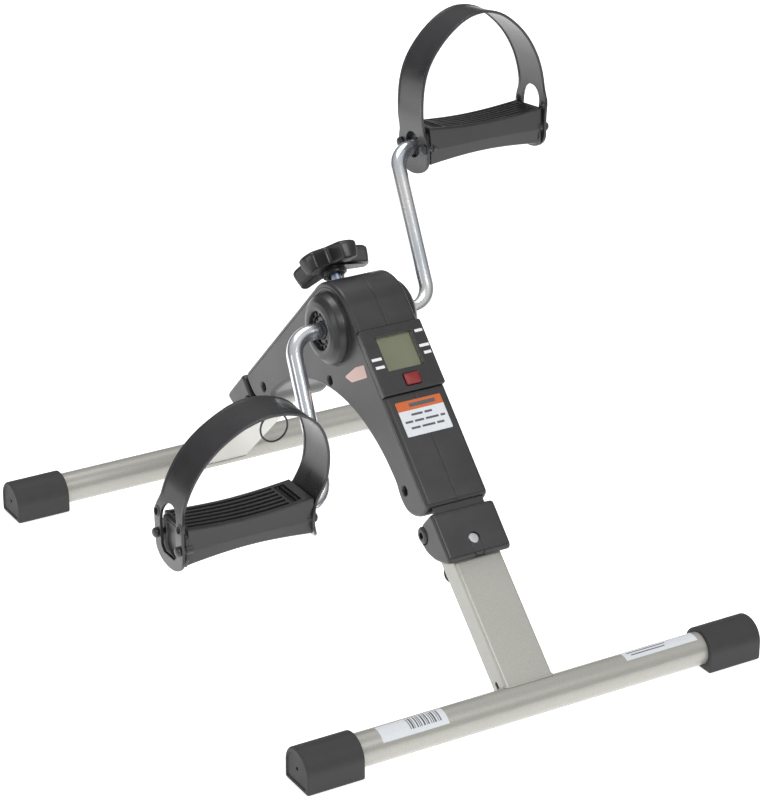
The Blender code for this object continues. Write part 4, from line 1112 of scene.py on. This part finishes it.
def pedal_body(start, stop, left):
    ob = pedal_block(start, stop)
    tools = []
    for i in range(6):                   # six grooves leave seven ridges
        y = (i - 2.5) * 5.45
        tools.append(prism(rect(PEDAL_INNER + 14.5, PEDAL_OUTER - 3.6, y - 1.55, y + 1.55,
                                0.5, 2), 9.2, 30, FLAT))
    tools.append(prism(rect(PEDAL_INNER + 4.2, PEDAL_INNER + 12.4, -14.6, 14.6, 0.8, 3),
                       10.6, 30, FLAT))
    cut(ob, *tools)
    tools = []
    for k in range(3):                   # hollows underneath leave two cross ribs
        x = PEDAL_INNER + 8 + k * 29.6
        tools.append(prism(rect(x, x + 26.2, -13.2, 13.2, 2.0), -20, -8.4, FLAT))
    cut(ob, *tools)
    for way, x_end in ((-1, start), (1, stop)):
        low, (top_half, top) = (-12.0, (15.2, 13.0)) if way < 0 else (-12.6, (16.2, 15.4))
        tab = fillet(mirrored([(15.5, low), (17.4, -5), (17.4, 8), (top_half, top)]), 1.6, 4)
        x0 = PEDAL_X + x_end - way * 3.0
        x1 = PEDAL_X + way * (PEDAL_HALF + (3.2 if way < 0 and not left else 0.3))
        join(ob, prism(tab, *sorted((x0, x1)), SIDE_PLANE))
        for y in PEG_Y:
            join(ob, x_rod(3.6, x0, PEDAL_X + way * (PEDAL_HALF + 0.3), y * 0.985, PEG_Z, 24))
    cut(ob, x_rod(6.95, PEDAL_INNER - 9, PEDAL_OUTER + 9, 0, 0, 40),
        x_rod(9.9, SPINDLE_END - 5.6, SPINDLE_END + 20, 0, 0, 40))
    merge(ob, *pedal_teeth())
    return merge(ob, *[strap_peg(y, way, left) for y in PEG_Y for way in (-1, 1)])


STRAP_X = PEDAL_HALF + 1.5
STRAP_THICK = 2.2
# middle line of each strap: x outwards from the pedal's middle, z above the spindle
STRAP_LINES = {
    "left": [
        (-STRAP_X - 7.4, -18.6), (-STRAP_X - 3.6, -13.4), (-STRAP_X - 1.4, -9.5),
        (-STRAP_X - 0.2, -4), (-STRAP_X, 0), (-STRAP_X - 0.5, 4), (-STRAP_X - 2.0, 9),
        (-64.8, 28), (-67.6, 46), (-66.0, 59), (-61.0, 71.5), (-52, 81), (-38, 87.3),
        (-20, 89.6), (-4, 86.6), (10, 80.5), (24, 71.5), (36, 60), (45.5, 45), (51.0, 31),
        (STRAP_X + 2.2, 16), (STRAP_X + 2.0, 0), (STRAP_X + 2.0, -20)],
    "right": [
        (-STRAP_X - 6.0, -21), (-STRAP_X - 5.0, -14.5), (-STRAP_X - 4.6, -8),
        (-STRAP_X - 4.4, 0), (-STRAP_X - 4.8, 9), (-58.4, 26), (-55.8, 50), (-49.6, 66.5),
        (-38.5, 81), (-25.0, 92.4), (-11.0, 99.6), (3, 101.4), (17.5, 97.6), (30.5, 88.2),
        (41.5, 75.5), (50.0, 59), (54.2, 42), (55.0, 26), (STRAP_X + 0.8, 10), (STRAP_X, 0),
        (STRAP_X, -17.6)]}


def strap_stations(line):
    """Points along the band with their distance from the nearer tip, closer at the tips."""
    path = [Vector(p) for p in spline(line, 8)]
    run = [0.0]
    for a, b in zip(path, path[1:]):
        run.append(run[-1] + (b - a).length)
    total, wanted, distance = run[-1], [], 0.0
    while distance < total / 2:
        wanted.append(distance)
        distance += 0.22 + min(3.6, distance * 0.16)
    wanted += [total - d for d in reversed(wanted)]
    points = []
    for d in wanted:
        i = next((k for k in range(len(run) - 1) if run[k + 1] >= d), len(run) - 2)
        points.append(path[i].lerp(path[i + 1], (d - run[i]) / max(1e-9, run[i + 1] - run[i])))
    return points, [min(d, total - d) for d in wanted]


def strap_half_width(x, z, from_tip):
    wide = 22.2
    if from_tip < 15.0 and z < 5:        # rounded tip
        f = from_tip / 15.0
        return min(wide * math.sqrt(max(0.0, 1 - (1 - f) ** 2.3)) * 0.98 + 0.45, wide)
    high, low = (31.0, 20.0) if x > 0 else (15.0, 3.0)
    f = min(1.0, max(0.0, (z - low) / (high - low)))
    half = wide - 3.6 * f * f * (3 - 2 * f)
    if x > 0 and z > 31.0:               # small step where the plate becomes the band
        half -= 0.5
    return half


def strap_section(half, z):
    """Across the band: rounded edges, with the middle dished above the plates."""
    thick, edge = STRAP_THICK / 2, 0.4
    dish = 0.0 if z < 26 else min(0.62, (z - 26) * 0.07)
    if half < 4.6:
        rim = [(half * 0.4, thick), (half * 0.55, thick), (half * 0.8, thick),
               (half * 0.96, thick - 0.14), (half, thick - edge)]
    else:
        rim = [(half - 2.6, thick - dish), (half - 1.9, thick), (half - edge, thick),
               (half - 0.12, thick - 0.14), (half, thick - edge)]
    return mirrored([(a, -b) for a, b in rim] + rim[::-1])


def strap_studs(points, spare):
    """Rims round the spare holes, or blind buttons where those holes are closed."""
    near = sorted([p for p in points if p.x > 0], key=lambda p: abs(p.y - SPARE_Z))[:2]
    low, high = sorted(near, key=lambda p: p.y)
    middle_x = low.lerp(high, (SPARE_Z - low.y) / max(1e-6, high.y - low.y)).x
    along = (high - low).normalized()
    normal = Vector((along.y, 0, -along.x))
    if spare:
        profile = [(-0.3, 2.85), (0.45, 2.85), (0.7, 3.1), (0.7, 3.7), (0.4, 4.05), (-0.3, 4.1)]
    else:
        profile = [(-STRAP_THICK - 1.7, 0.0), (-STRAP_THICK - 1.5, 1.9),
                   (-STRAP_THICK - 0.6, 3.0), (0.5, 3.0), (1.0, 2.3), (1.15, 0.0)]
    return [revolve(profile, Vector((PEDAL_X + middle_x, y, SPARE_Z)) + normal * (STRAP_THICK / 2),
                    normal, 32) for y in PEG_Y]


def strap_body(line, opening_top, spare):
    points, from_tip = strap_stations(line)
    rings = []
    for i, point in enumerate(points):
        along = (points[min(i + 1, len(points) - 1)] - points[max(i - 1, 0)]).normalized()
        half = strap_half_width(point.x, point.y, from_tip[i])
        rings.append([Vector((PEDAL_X + point.x - along.y * b, a, point.y + along.x * b))
                      for a, b in strap_section(half, point.y)])
    ob = loft(rings)
    radius = 12.5
    arched = fillet([(-8.4, -10.6), (8.4, -10.6), (radius, -6.6)]
                    + arc(0, opening_top - radius, radius, 0, 180, 24) + [(-radius, -6.6)],
                    [3.0, 3.0, 3.5] + [0] * 25 + [3.5], 5)
    tools = [prism(arched, PEDAL_X + 43, PEDAL_X + 72, SIDE_PLANE),
             x_rod(10.6, PEDAL_X - 72, PEDAL_X - 43, 0, 2.2, 64)]
    for way in (-1, 1):
        for y in PEG_Y:
            for z in (PEG_Z, SPARE_Z) if way > 0 and spare else (PEG_Z,):
                tools.append(x_rod(2.75, PEDAL_X + way * 44, PEDAL_X + way * 74, y, z, 28))
    cut(ob, *tools)
    return merge(ob, *strap_studs(points, spare))


def end_cover(back):
    """Wall across the pedal's outer end with a U-shaped plate, moved inwards by back."""
    def plate(depth):
        half = 11.7 - depth
        corner = arc(half - 1.6, 14.0 - depth - 1.6, 1.6, 90, 0, 5)
        return corner + arc(0, -0.9, half, 0, -180, 28) + [(-a, b) for a, b in corner[::-1]]
    levels = ((0, 205.0), (0, 207.6), (0.15, 207.95), (0.5, 208.15), (1.2, 208.15),
              (1.5, 208.0), (1.6, 207.4))
    cap = stack(plate, [(depth, x - back) for depth, x in levels], SIDE_PLANE)
    wall = fillet([(-15.8, -14.4), (15.8, -14.4), (19.2, -7.0), (19.2, 9.5), (17.6, 12.6),
                   (-17.6, 12.6), (-19.2, 9.5), (-19.2, -7.0)], 2.0, 5)
    return join(cap, prism(wall, 205.2 - back, 207.4 - back, SIDE_PLANE, 0.0, 0.5, 3))


for name, side in SIDES:
    left = name == "left"
    body = name + "_pedal_assembly"
    matrix = (Matrix.Translation(Vector((0, *yz(SPINDLE[name]))))
              @ Matrix.Rotation(rad(PEDAL_TILT[name]), 4, "X") @ Matrix.Diagonal((side, 1, 1, 1)))
    finish(place(pedal_body(*PEDAL_ENDS[name], left), matrix),
           name + "_pedal_body", body, NYLON, name + "_pedal", sharp=28)
    finish(place(strap_body(STRAP_LINES[name], 30.0 if left else 32.6, left), matrix),
           name + "_foot_strap", body, STRAP, name + "_strap", sharp=35)
    finish(place(end_cover(0.0 if left else 1.0), matrix),
           name + "_pedal_end_cover", body, NYLON, name + "_pedal_end_cap")

# ---------------------------------------------------------------- knob and its screw
KNOB_PHASE, THREAD_PITCH = -9.0, 1.25
# knob levels: height, lobe tip radius, lobe half width, valley radius
KNOB_LEVELS = [
    (50.2, 27.2, 4.6, 11.0), (50.55, 28.6, 5.6, 11.8), (51.4, 29.5, 6.2, 12.3),
    (54.0, 30.2, 6.6, 12.8), (58.5, 31.2, 7.2, 13.3), (62.2, 31.7, 7.6, 13.7),
    (63.4, 31.5, 7.4, 13.5), (64.3, 30.9, 6.9, 13.1), (64.9, 29.9, 6.2, 12.5),
    (65.2, 28.5, 5.3, 11.7)]
# neck under the lobes: height, radius
KNOB_NECK = [
    (45.0, 0.0), (45.0, 8.9), (45.3, 9.6), (46.0, 9.9), (48.0, 9.8), (48.8, 9.5), (49.6, 9.7),
    (51.0, 10.8), (52.6, 12.6), (54.5, 13.4), (57.0, 13.4), (57.0, 0.0)]


def knob_ring(height, tip, half, valley):
    """Five lobes that curl down towards the shaft as they run out."""
    points, radii = [], []
    root = valley * 1.10
    for k in range(5):
        angle = rad(72.0 * k + KNOB_PHASE)
        cos, sin = math.cos(angle), math.sin(angle)
        for x, y, radius in ((root, -root * 0.62, 4.5), (tip - 2.2, -half, 2.4),
                             (tip, 0.0, 12.0), (tip - 2.2, half, 2.4), (root, root * 0.62, 4.5)):
            points.append((x * cos - y * sin, x * sin + y * cos))
            radii.append(radius)
    return [Vector((x, y, height - 4.6 * max(0.0, (math.hypot(x, y) - 10.0) / 21.5) ** 1.4))
            for x, y in fillet(points, radii, 5)]


def tension_knob():
    ob = loft([knob_ring(*level) for level in KNOB_LEVELS], arm_plane(1, knob_at(0)))
    join(ob, knob_turned(KNOB_NECK, 64))
    return cut(ob, rod(4.4, knob_at(40), knob_at(52.8)),
               knob_turned([(40.0, 0.0), (40.0, 7.4), (44.8, 7.4), (48.0, 6.2), (48.0, 0.0)], 48),
               knob_turned([(63.0, 0), (63.0, 6.2), (63.3, 6.6), (66, 7.0), (66, 0)], 48))


def tension_stem():
    """Screw with nine ridges below a plain shank."""
    profile = [(21.4, 0.0), (21.4, 3.2)]
    for k in range(9):
        height = 22.0 + k * THREAD_PITCH
        profile += [(height, 3.45), (height + THREAD_PITCH * 0.5, 4.0)]
    profile += [(34.0, 3.45), (34.6, 4.0), (52.0, 4.0), (52.2, 3.8), (52.2, 0.0)]
    return knob_turned(profile, 40)


finish(tension_knob(), "tension_knob_star", "knob", KNOB, "tension_knob", sharp=30)
finish(tension_stem(), "tension_screw_stem", "knob", STEM_ZINC, "tension_screw", sharp=25)

# ---------------------------------------------------------------- hinges
EAR_THICK = 4.3
PIVOT_HOLE_R = PIVOT_R + 0.35
# hinge cover, side view: along the arm, out, corner radius
COVER = [
    (14.5, 191.3, 2.8), (16.0, 195.6, 3.6), (50.8, 195.4, 3.4), (54.5, 193.0, 3.0),
    (52.0, 186.0, 14), (44.0, 174.0, 20), (35.5, 167.0, 14), (27.6, 164.7, 9),
    (21.0, 164.4, 6), (17.2, 168.6, 9), (15.0, 178.0, 12)]


def pin_rod(radius, out0, out1, end, segments=32, along=PIN_ALONG):
    return rod(radius, leg(along, out0, end), leg(along, out1, end), segments)


def pivot_hole(end, x0=-40):
    return x_rod(PIVOT_HOLE_R, x0, 40, end * PIVOT_Y, PIVOT_Z)


def hinge(name, end):
    """The cover, and the leg's tongue that closes the slot beside the lock pin."""
    pivot = (0, end * PIVOT_Y, PIVOT_Z)
    on_arm = arm_plane(end)
    outline = fillet([yz(arm(along, out, end)) for along, out, _ in COVER],
                     [row[2] for row in COVER], 7)
    cover = prism(outline, -COVER_HALF, COVER_HALF, SIDE_PLANE, 2.6, 2.6, 6)
    inner = COVER_HALF - EAR_THICK
    cut(cover, prism(rect(-inner, inner, 10, 80), 120, 188.5, on_arm),
        prism(rect(-inner, inner, 26, 80), 120, 190.6, on_arm))
    tongue = cover.copy()
    tongue.data = cover.data.copy()
    SCENE.objects.link(tongue)

    slot_end = PIN_ALONG + 8.6
    join(cover, prism(rect(-21.6, 21.6, -28, 20, 1.5), 188.3, 191.2, on_arm))
    recess = [(24.6, 0), (24.6, 7.1), (26.4, 7.1), (27.2, 7.7), (40, 7.7), (40, 0)]
    cut(cover, pivot_hole(end),
        *[revolve(recess, pivot, (side, 0, 0), 40) for side in (-1, 1)],
        pin_rod(PIN_HOLE_R, 184, 204, end, 40),
        pin_rod(PIN_HOLE_R, 184, 204, end, 40, along=slot_end),
        prism(rect(-PIN_HOLE_R, PIN_HOLE_R, PIN_ALONG, slot_end), 184, 204, leg_plane(end)))
    finish(cover, name + "_hinge_cover", "housing", BRACKET, name + "_hinge_bracket", sharp=28)

    half = PIN_HOLE_R - 0.10
    strip = prism(rect(-half, half, PIN_ALONG, PIN_ALONG + 16), 186, 204, leg_plane(end))
    boolean(tongue, [strip], "INTERSECT")
    cut(tongue, pin_rod(PIN_R + 0.16, 184, 204, end, 48))
    finish(tongue, name + "_slot_tongue", name + "_leg", BRACKET, sharp=28)


def pivot_bolt(name, end):
    """Shoulder bolt with a hexagon socket on the left, and its nut on the right."""
    pivot = (0, end * PIVOT_Y, PIVOT_Z)
    across_x = side_plane(pivot)
    bolt = revolve([(-28.4, 0), (-28.4, 4.2), (-28.2, 5.0), (-27.6, 6.2), (-26.9, 6.6),
                    (-24.9, 6.6), (-24.9, PIVOT_R), (27.6, PIVOT_R), (28.0, 3.6), (28.0, 0)],
                   pivot, (1, 0, 0), 40)
    cut(bolt, prism(arc(0, 0, 3.0, 0, 300, 5), -29.5, -26.6, across_x))
    finish(bolt, name + "_pivot_bolt_fine", "housing", BOLT, name + "_pivot_bolt")
    nut = prism(fillet(arc(0, 0, 6.8, 0, 300, 5), 0.5, 2), 24.9, 28.4, across_x, 0.0, 0.5, 2)
    cut(nut, pivot_hole(end, x0=0))
    finish(nut, name + "_pivot_nut_fine", "housing", SCREW_ZINC, name + "_pivot_nut")


# ---------------------------------------------------------------- legs and base
def leg_tube(name, end):
    """Rectangular tube with a rolled top, a pivot sleeve, and coped onto the base tube."""
    pivot_along, pivot_out = on_leg(PIVOT_Y, PIVOT_Z)
    inner_out = LEG_OUT - LEG_DEPTH
    top_r = LEG_OUT - pivot_out
    profile = [(pivot_along + top_r * math.sin(rad(angle)),
                pivot_out + top_r * math.cos(rad(angle)))
               for angle in (0, -7, -13, -20, -27, -34, -40)]
    profile += [(pivot_along - 10.7, pivot_out + 9.5), (pivot_along - 10.7, inner_out),
                (170, inner_out), (170, LEG_OUT)]
    tube = prism([yz(leg(along, out, end)) for along, out in profile],
                 -LEG_HALF, LEG_HALF, SIDE_PLANE, 2.2, 2.2, 5)
    hollow = LEG_HALF - LEG_WALL
    cut(tube, prism(rect(-hollow, hollow, -20, 200), inner_out + LEG_WALL, LEG_OUT - LEG_WALL,
                    leg_plane(end)))
    join(tube, x_rod(6.6, -LEG_HALF + 0.3, LEG_HALF - 0.3, end * PIVOT_Y, PIVOT_Z, 40))
    toe_y = BASE_Y + 3.1
    # oval vent through the left wall: outline out, along; thickness along x
    vent_plane = plane((0, end * LEG_SIN, LEG_COS), (0, end * LEG_COS, -LEG_SIN), (1, 0, 0))
    cut(tube, x_rod(TUBE_R + 0.3, -60, 60, end * BASE_Y, TUBE_Z, 64),
        prism(rect(end * toe_y, end * (toe_y + 60), -60, 90), -60, 60, SIDE_PLANE),
        pivot_hole(end),
        pin_rod(PIN_HOLE_R, 176, 200, end),
        pin_rod(6.3, 160, 176, end),
        prism(rect(174.4, 178.2, 149.0, 156.2, 1.7, 5), -60, 0, vent_plane))
    finish(tube, name + "_leg_rhs", name + "_leg", PAINT, name + "_leg_tube", sharp=28)


def weld_bead(name, end):
    """Rippled bead round the coped joint."""
    base_along, base_out = on_leg(BASE_Y, TUBE_Z)
    outline = rect(-LEG_HALF, LEG_HALF, LEG_OUT, LEG_OUT - LEG_DEPTH, 2.2)
    dense = []
    for (x0, out0), (x1, out1) in zip(outline, outline[1:] + outline[:1]):
        steps = max(1, int(math.hypot(x1 - x0, out1 - out0) / 0.9))
        dense += [(x0 + (x1 - x0) * i / steps, out0 + (out1 - out0) * i / steps)
                  for i in range(steps)]
    path, radii = [], []
    for i, (x, out) in enumerate(dense):
        drop = math.sqrt(max(0.0, (TUBE_R + 0.2) ** 2 - (out - base_out) ** 2))
        path.append(leg(base_along - drop - 0.3, out, end, x))
        radii.append(0.95 + 0.16 * math.sin(i * 2 * math.pi / 3.4) + 0.06 * math.sin(i * 0.7))
    finish(sweep(path, radii, 12, cyclic=True), name + "_weld_bead", name + "_leg", PAINT,
           sharp=60)


def base_bar(name, end):
    half, hole = 190, 11.3
    bar = revolve([(-half, hole), (-half, TUBE_R - 0.3), (-half + 0.4, TUBE_R),
                   (half - 0.4, TUBE_R), (half, TUBE_R - 0.3), (half, hole)],
                  (0, end * BASE_Y, TUBE_Z), (1, 0, 0), 96)
    finish(bar, name + "_base_bar", name + "_leg", PAINT, name + "_base_tube")


def foot_shoe(name, end, side_name, side):
    """Cap with a rounded top, flat sole and recessed end with a vent."""
    centre = end * BASE_Y

    def section(depth):
        half, bottom = CAP_HALF - depth, -TUBE_Z + depth
        radius = max(0.6, 2.6 - depth)
        points = [(y, 0.94 * z) for y, z in arc(0, 0, half, 0, 180, 48)]
        points += arc(-half + radius, bottom + radius, radius, 180, 270, 6)
        points += arc(half - radius, bottom + radius, radius, 270, 360, 6)
        return [(centre + y, TUBE_Z + z) for y, z in points]
    x0, x1 = side * (BASE_HALF - CAP_LENGTH), side * BASE_HALF
    stations = [(0.7, x0), (0.35, x0 + side * 0.1), (0.1, x0 + side * 0.35), (0, x0 + side * 0.8)]
    stations += [(2.0 * (1 - math.cos(turn)), x1 - side * 2.0 * (1 - math.sin(turn)))
                 for turn in quarter(7)]
    cap = stack(section, stations, SIDE_PLANE)
    cut(cap, stack(section, [(3.6, x1 - side * 0.9), (3.1, x1 + side * 0.1),
                             (3.0, x1 + side * 5)], SIDE_PLANE))
    cut(cap, x_rod(TUBE_R + 0.25, side * 100, side * 190.6, centre, TUBE_Z, 64),
        x_rod(1.5, side * 180, side * 210, centre, TUBE_Z, 24),
        prism(rect(centre - 4.5, centre + 4.5, -2, 0.9, 0.4, 2),
              x1 - side * 3.2, x1 + side * 4, SIDE_PLANE))
    finish(cap, f"{name}_{side_name}_foot_shoe", name + "_leg", RUBBER,
           f"{name}_{side_name}_foot_cap", sharp=30)


# ---------------------------------------------------------------- lock pins
BARREL = [(166.4, 4.6), (166.4, 7.9), (166.7, 8.2), (167.3, 8.2), (167.5, 8.0), (167.5, 5.9),
          (172.0, 5.9), (172.0, 4.6)]
PIN_TIP = on_leg(164.8, 109.8)[1]
# out along the pin, radius
PIN_PROFILE = [
    (RING_OUT - 2.8, 0), (RING_OUT - 2.8, 2.6), (RING_OUT - 1.8, PIN_R), (181.6, PIN_R),
    (181.6, 5.8), (181.9, 6.0), (183.1, 6.0), (183.4, 5.8), (183.4, PIN_R),
    (PIN_TIP - 0.35, PIN_R), (PIN_TIP - 0.1, 4.05), (PIN_TIP, 3.8), (PIN_TIP, 0.5),
    (PIN_TIP - 0.25, 0.3), (PIN_TIP - 0.25, 0)]
SPRING_TURNS, SPRING_R, SPRING_BASE, SPRING_TOP = 4, 5.2, 173.0, 180.8
RING_R = 12.6


def lock_pin(name, end):
    """Barrel, pin, spring and pull ring."""
    origin = leg(PIN_ALONG, 0, end)
    up = leg(PIN_ALONG, 1, end) - origin
    finish(revolve(BARREL, origin, up, 40),
           name + "_pin_housing", name + "_leg", SCREW_ZINC, name + "_pin_barrel")

    pin = revolve(PIN_PROFILE, origin, up, 48)
    hole = leg(PIN_ALONG, RING_OUT, end)
    cut(pin, x_rod(2.0, -10, 10, *yz(hole), 20))
    finish(pin, name + "_lock_pin_fine", name + "_pin", PIN_ZINC, name + "_lock_pin", sharp=25)

    first = up.orthogonal().normalized()
    second = up.cross(first)
    coil, steps = [], SPRING_TURNS * 24
    for i in range(steps + 1):
        t = i / steps
        turn = 2 * math.pi * SPRING_TURNS * t
        coil.append(leg(PIN_ALONG, SPRING_BASE + (SPRING_TOP - SPRING_BASE) * t, end)
                    + SPRING_R * (math.cos(turn) * first + math.sin(turn) * second))
    spring = finish(sweep(coil, 0.5, 10), name + "_lock_spring_coil", name + "_leg",
                    SPRING_WIRE, name + "_lock_spring", sharp=60)
    bpy.context.view_layer.update()
    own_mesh(spring)

    centre = hole + Vector((0, 0, -RING_R))
    loop = [centre + RING_R * Vector((math.sin(turn), 0, math.cos(turn)))
            for turn in [2 * math.pi * i / 72 for i in range(72)]]
    finish(sweep(loop, 0.85, 14, cyclic=True), name + "_pull_ring_wire", name + "_ring",
           RING_WIRE, name + "_pull_ring", sharp=60)


for name, end in ENDS:
    hinge(name, end)
    pivot_bolt(name, end)
    leg_tube(name, end)
    weld_bead(name, end)
    base_bar(name, end)
    for side_name, side in SIDES:
        foot_shoe(name, end, side_name, side)
    lock_pin(name, end)

# ---------------------------------------------------------------- CAD pieces that stay
KEPT = {
    "inner_frame": STEEL[0], "left_bearing": BRONZE, "right_bearing": BRONZE,
    "lcd_display": LCD, "circuit_board": BOARD, "button_cell": CELL, "speed_sensor": SENSOR,
    "sensor_lead": LEAD, "brake_drum": STEEL[0], "sensor_magnet": MAGNET, "brake_shoe": FELT,
    "tension_nut": SCREW_ZINC[0]}
for node, material in KEPT.items():
    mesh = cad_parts[node].data
    mesh.materials.clear()
    mesh.materials.append(material)


# ---------------------------------------------------------------- floor, light and camera (metres)
def add_floor():
    bpy.ops.mesh.primitive_plane_add(size=1, location=(0, 0, -0.0004))
    floor = bpy.context.object
    floor.name = "floor"
    floor.scale = (40, 40, 1)
    sh = Shader("floor_paper")
    base = sh.mix(sh.remap(sh.noise(scale=3.0)), (0.90, 0.90, 0.90), (0.92, 0.92, 0.92))
    floor.data.materials.append(sh.principled(
        base_color=base, roughness=0.9, specular_ior_level=0.1,
        emission_color=(1, 1, 1), emission_strength=0.78))


def add_world():
    """Grey surroundings shaded by height."""
    world = bpy.data.worlds.new("studio")
    bpy.context.scene.world = world
    world.use_nodes = True
    nodes, links = world.node_tree.nodes, world.node_tree.links
    nodes.clear()
    output = nodes.new("ShaderNodeOutputWorld")
    background = nodes.new("ShaderNodeBackground")
    coords = nodes.new("ShaderNodeTexCoord")
    split = nodes.new("ShaderNodeSeparateXYZ")
    ramp = nodes.new("ShaderNodeValToRGB")
    links.new(coords.outputs["Generated"], split.inputs[0])
    links.new(split.outputs["Z"], ramp.inputs[0])
    # position on the ramp, brightness
    stops = [(0.0, 0.30), (0.10, 0.14), (0.30, 0.30), (0.60, 0.70), (1.0, 0.85)]
    elements = ramp.color_ramp.elements
    while len(elements) < len(stops):
        elements.new(0.5)
    for element, (position, value) in zip(elements, stops):
        element.position = position
        element.color = (value, value, value * 1.01, 1)
    links.new(ramp.outputs[0], background.inputs["Color"])
    background.inputs["Strength"].default_value = 0.62
    links.new(background.outputs[0], output.inputs[0])


def add_light(name, location, aim, size, power):
    light = bpy.data.lights.new(name, "AREA")
    light.shape = "RECTANGLE"
    light.size, light.size_y = size
    light.energy = power
    ob = bpy.data.objects.new(name, light)
    SCENE.objects.link(ob)
    ob.location = location
    ob.rotation_mode = "QUATERNION"
    ob.rotation_quaternion = (Vector(aim) - Vector(location)).to_track_quat("-Z", "Y")


def add_camera():
    """A long lens from the front left, above."""
    azimuth, elevation, roll = rad(-29.83), rad(24.33), rad(-0.25)
    distance, target = 2.2933, Vector((0, 0, 0.150))
    back = Vector((math.sin(azimuth) * math.cos(elevation),
                   -math.cos(azimuth) * math.cos(elevation), math.sin(elevation)))
    right = Vector((math.cos(azimuth), math.sin(azimuth), 0))
    up = back.cross(right)
    camera = bpy.data.cameras.new("camera")
    camera.sensor_width = 36.0
    camera.lens = 133.398
    camera.shift_x = 0.02605
    camera.shift_y = 0.0105375
    camera.clip_start, camera.clip_end = 0.05, 60.0
    ob = bpy.data.objects.new("camera", camera)
    SCENE.objects.link(ob)
    ob.matrix_world = plane(math.cos(roll) * right + math.sin(roll) * up,
                            -math.sin(roll) * right + math.cos(roll) * up,
                            back, target + back * distance)
    bpy.context.scene.camera = ob


add_floor()
add_world()
add_light("key", location=(0.3, -2.0, 2.2), aim=(0, 0, 0.12), size=(1.1, 1.1), power=30.0)
add_light("side", location=(-2.3, -0.2, 1.1), aim=(0, 0, 0.15), size=(0.8, 1.2), power=9.0)
add_light("top", location=(0.1, 0.7, 2.3), aim=(0, 0, 0.1), size=(1.2, 1.2), power=18.0)
add_camera()
bpy.context.scene.view_settings.view_transform = "Standard"
bpy.context.scene.view_settings.look = "None"
